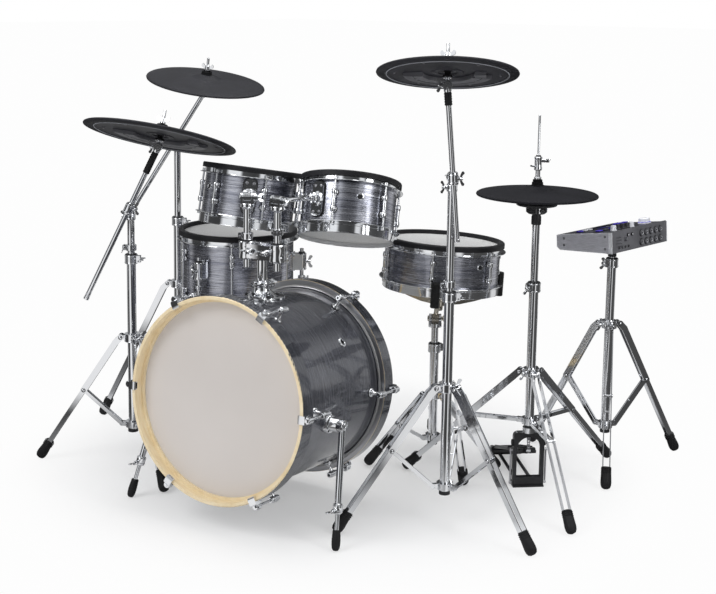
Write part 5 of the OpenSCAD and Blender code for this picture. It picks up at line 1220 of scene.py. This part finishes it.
class Nodes:
    """A small helper around a node tree."""

    def __init__(self, tree):
        self.tree = tree

    def node(self, kind, **values):
        made = self.tree.nodes.new(kind)
        for key, value in values.items():
            setattr(made, key, value)
        return made

    def math(self, operation, *inputs):
        made = self.node("ShaderNodeMath", operation=operation)
        for socket, value in zip(made.inputs, inputs):
            self.feed(value, socket)
        return made.outputs[0]

    def feed(self, value, socket):
        if isinstance(value, (int, float)):
            socket.default_value = value
        else:
            self.tree.links.new(value, socket)

    def smooth(self, value, low, high, first, last):
        """Goes from first to last, with soft ends, as the value goes from low to high."""
        made = self.node("ShaderNodeMapRange", interpolation_type="SMOOTHSTEP")
        for socket, number in zip(made.inputs, (value, low, high, first, last)):
            self.feed(number, socket)
        return made.outputs["Result"]

    def walls(self, direction):
        """The panels' brightness in a direction."""
        parts = self.node("ShaderNodeSeparateXYZ")
        self.tree.links.new(direction, parts.inputs[0])
        turn = self.math("ARCTAN2", parts.outputs[1], parts.outputs[0])
        ramp = self.node("ShaderNodeValToRGB")
        while len(ramp.color_ramp.elements) < len(PANELS):
            ramp.color_ramp.elements.new(0.5)
        for element, (angle, value) in zip(ramp.color_ramp.elements, PANELS):
            element.position = (angle + 180) / 360
            element.color = (value, value, value, 1)
        self.tree.links.new(self.math("MULTIPLY_ADD", turn, 0.5 / math.pi, 0.5), ramp.inputs["Fac"])
        return ramp.outputs["Color"], parts.outputs[2]


ground = Mat("floor", (0.93, 0.93, 0.935), 0.8, 0.0, specular_ior_level=0.1)
stage = Nodes(ground.tree)
spot = stage.node("ShaderNodeTexCoord").outputs["Object"]
away = stage.node("ShaderNodeVectorMath", operation="LENGTH")
ground.link(spot, away.inputs[0])
path = stage.node("ShaderNodeLightPath")
glow = stage.node("ShaderNodeEmission")
glow.inputs["Color"].default_value = (0.985, 0.985, 0.985, 1)
shown = stage.node("ShaderNodeEmission")
ground.link(stage.walls(spot)[0], shown.inputs["Color"])
seen = stage.math("MULTIPLY", stage.smooth(away.outputs["Value"], 0.4, 0.92, 0.34, 1.0), path.outputs["Is Camera Ray"])
mirrored = stage.math("MULTIPLY", stage.smooth(away.outputs["Value"], 0.45, 1.0, 0.0, 1.0), path.outputs["Is Glossy Ray"])
lit = stage.node("ShaderNodeMixShader")
ground.link(seen, lit.inputs[0])
ground.link(ground.shader.outputs[0], lit.inputs[1])
ground.link(glow.outputs[0], lit.inputs[2])
both = stage.node("ShaderNodeMixShader")
ground.link(mirrored, both.inputs[0])
ground.link(lit.outputs[0], both.inputs[1])
ground.link(shown.outputs[0], both.inputs[2])
ground.link(both.outputs[0], ground.tree.nodes["Material Output"].inputs["Surface"])
floor_mesh.materials.append(ground.mat)

world = bpy.data.worlds.new("studio")
bpy.context.scene.world = world
world.use_nodes = True
world.node_tree.nodes.clear()
sky = Nodes(world.node_tree)
panels, height = sky.walls(sky.node("ShaderNodeTexCoord").outputs["Generated"])
overhead = sky.smooth(height, 0.45, 0.8, 0.0, 0.5)
path = sky.node("ShaderNodeLightPath")
strength = sky.node("ShaderNodeMix", data_type="FLOAT")
sky.feed(path.outputs["Is Glossy Ray"], strength.inputs[0])
strength.inputs[2].default_value = 0.44
sky.feed(sky.math("ADD", panels, overhead), strength.inputs[3])
soft = sky.node("ShaderNodeBackground")
soft.inputs["Color"].default_value = (0.97, 0.985, 1, 1)
sky.feed(strength.outputs[0], soft.inputs["Strength"])
plain = sky.node("ShaderNodeBackground")
plain.inputs["Color"].default_value = (1, 1, 1, 1)
chosen = sky.node("ShaderNodeMixShader")
sky.feed(path.outputs["Is Camera Ray"], chosen.inputs[0])
sky.feed(soft.outputs[0], chosen.inputs[1])
sky.feed(plain.outputs[0], chosen.inputs[2])
sky.feed(chosen.outputs[0], sky.node("ShaderNodeOutputWorld").inputs["Surface"])


def lamp(name, at, target, size, power):
    data = bpy.data.lights.new(name, "AREA")
    data.shape = "RECTANGLE"
    data.size, data.size_y = size
    data.energy = power
    lit = bpy.data.objects.new(name, data)
    bpy.context.scene.collection.objects.link(lit)
    lit.location = at
    lit.rotation_mode = "QUATERNION"
    lit.rotation_quaternion = (Vector(target) - Vector(at)).to_track_quat("-Z", "Y")


lamp("key", (-1.2, -2.6, 2.9), (0, 0, 0.5), (1.6, 1.6), 48)
lamp("side", (3.0, -0.6, 2.0), (0, 0, 0.6), (0.8, 2.2), 26)
lamp("top", (0.2, 0.6, 3.4), (0, 0, 0.4), (2.6, 2.0), 50)
bpy.context.scene.view_settings.view_transform = "Standard"
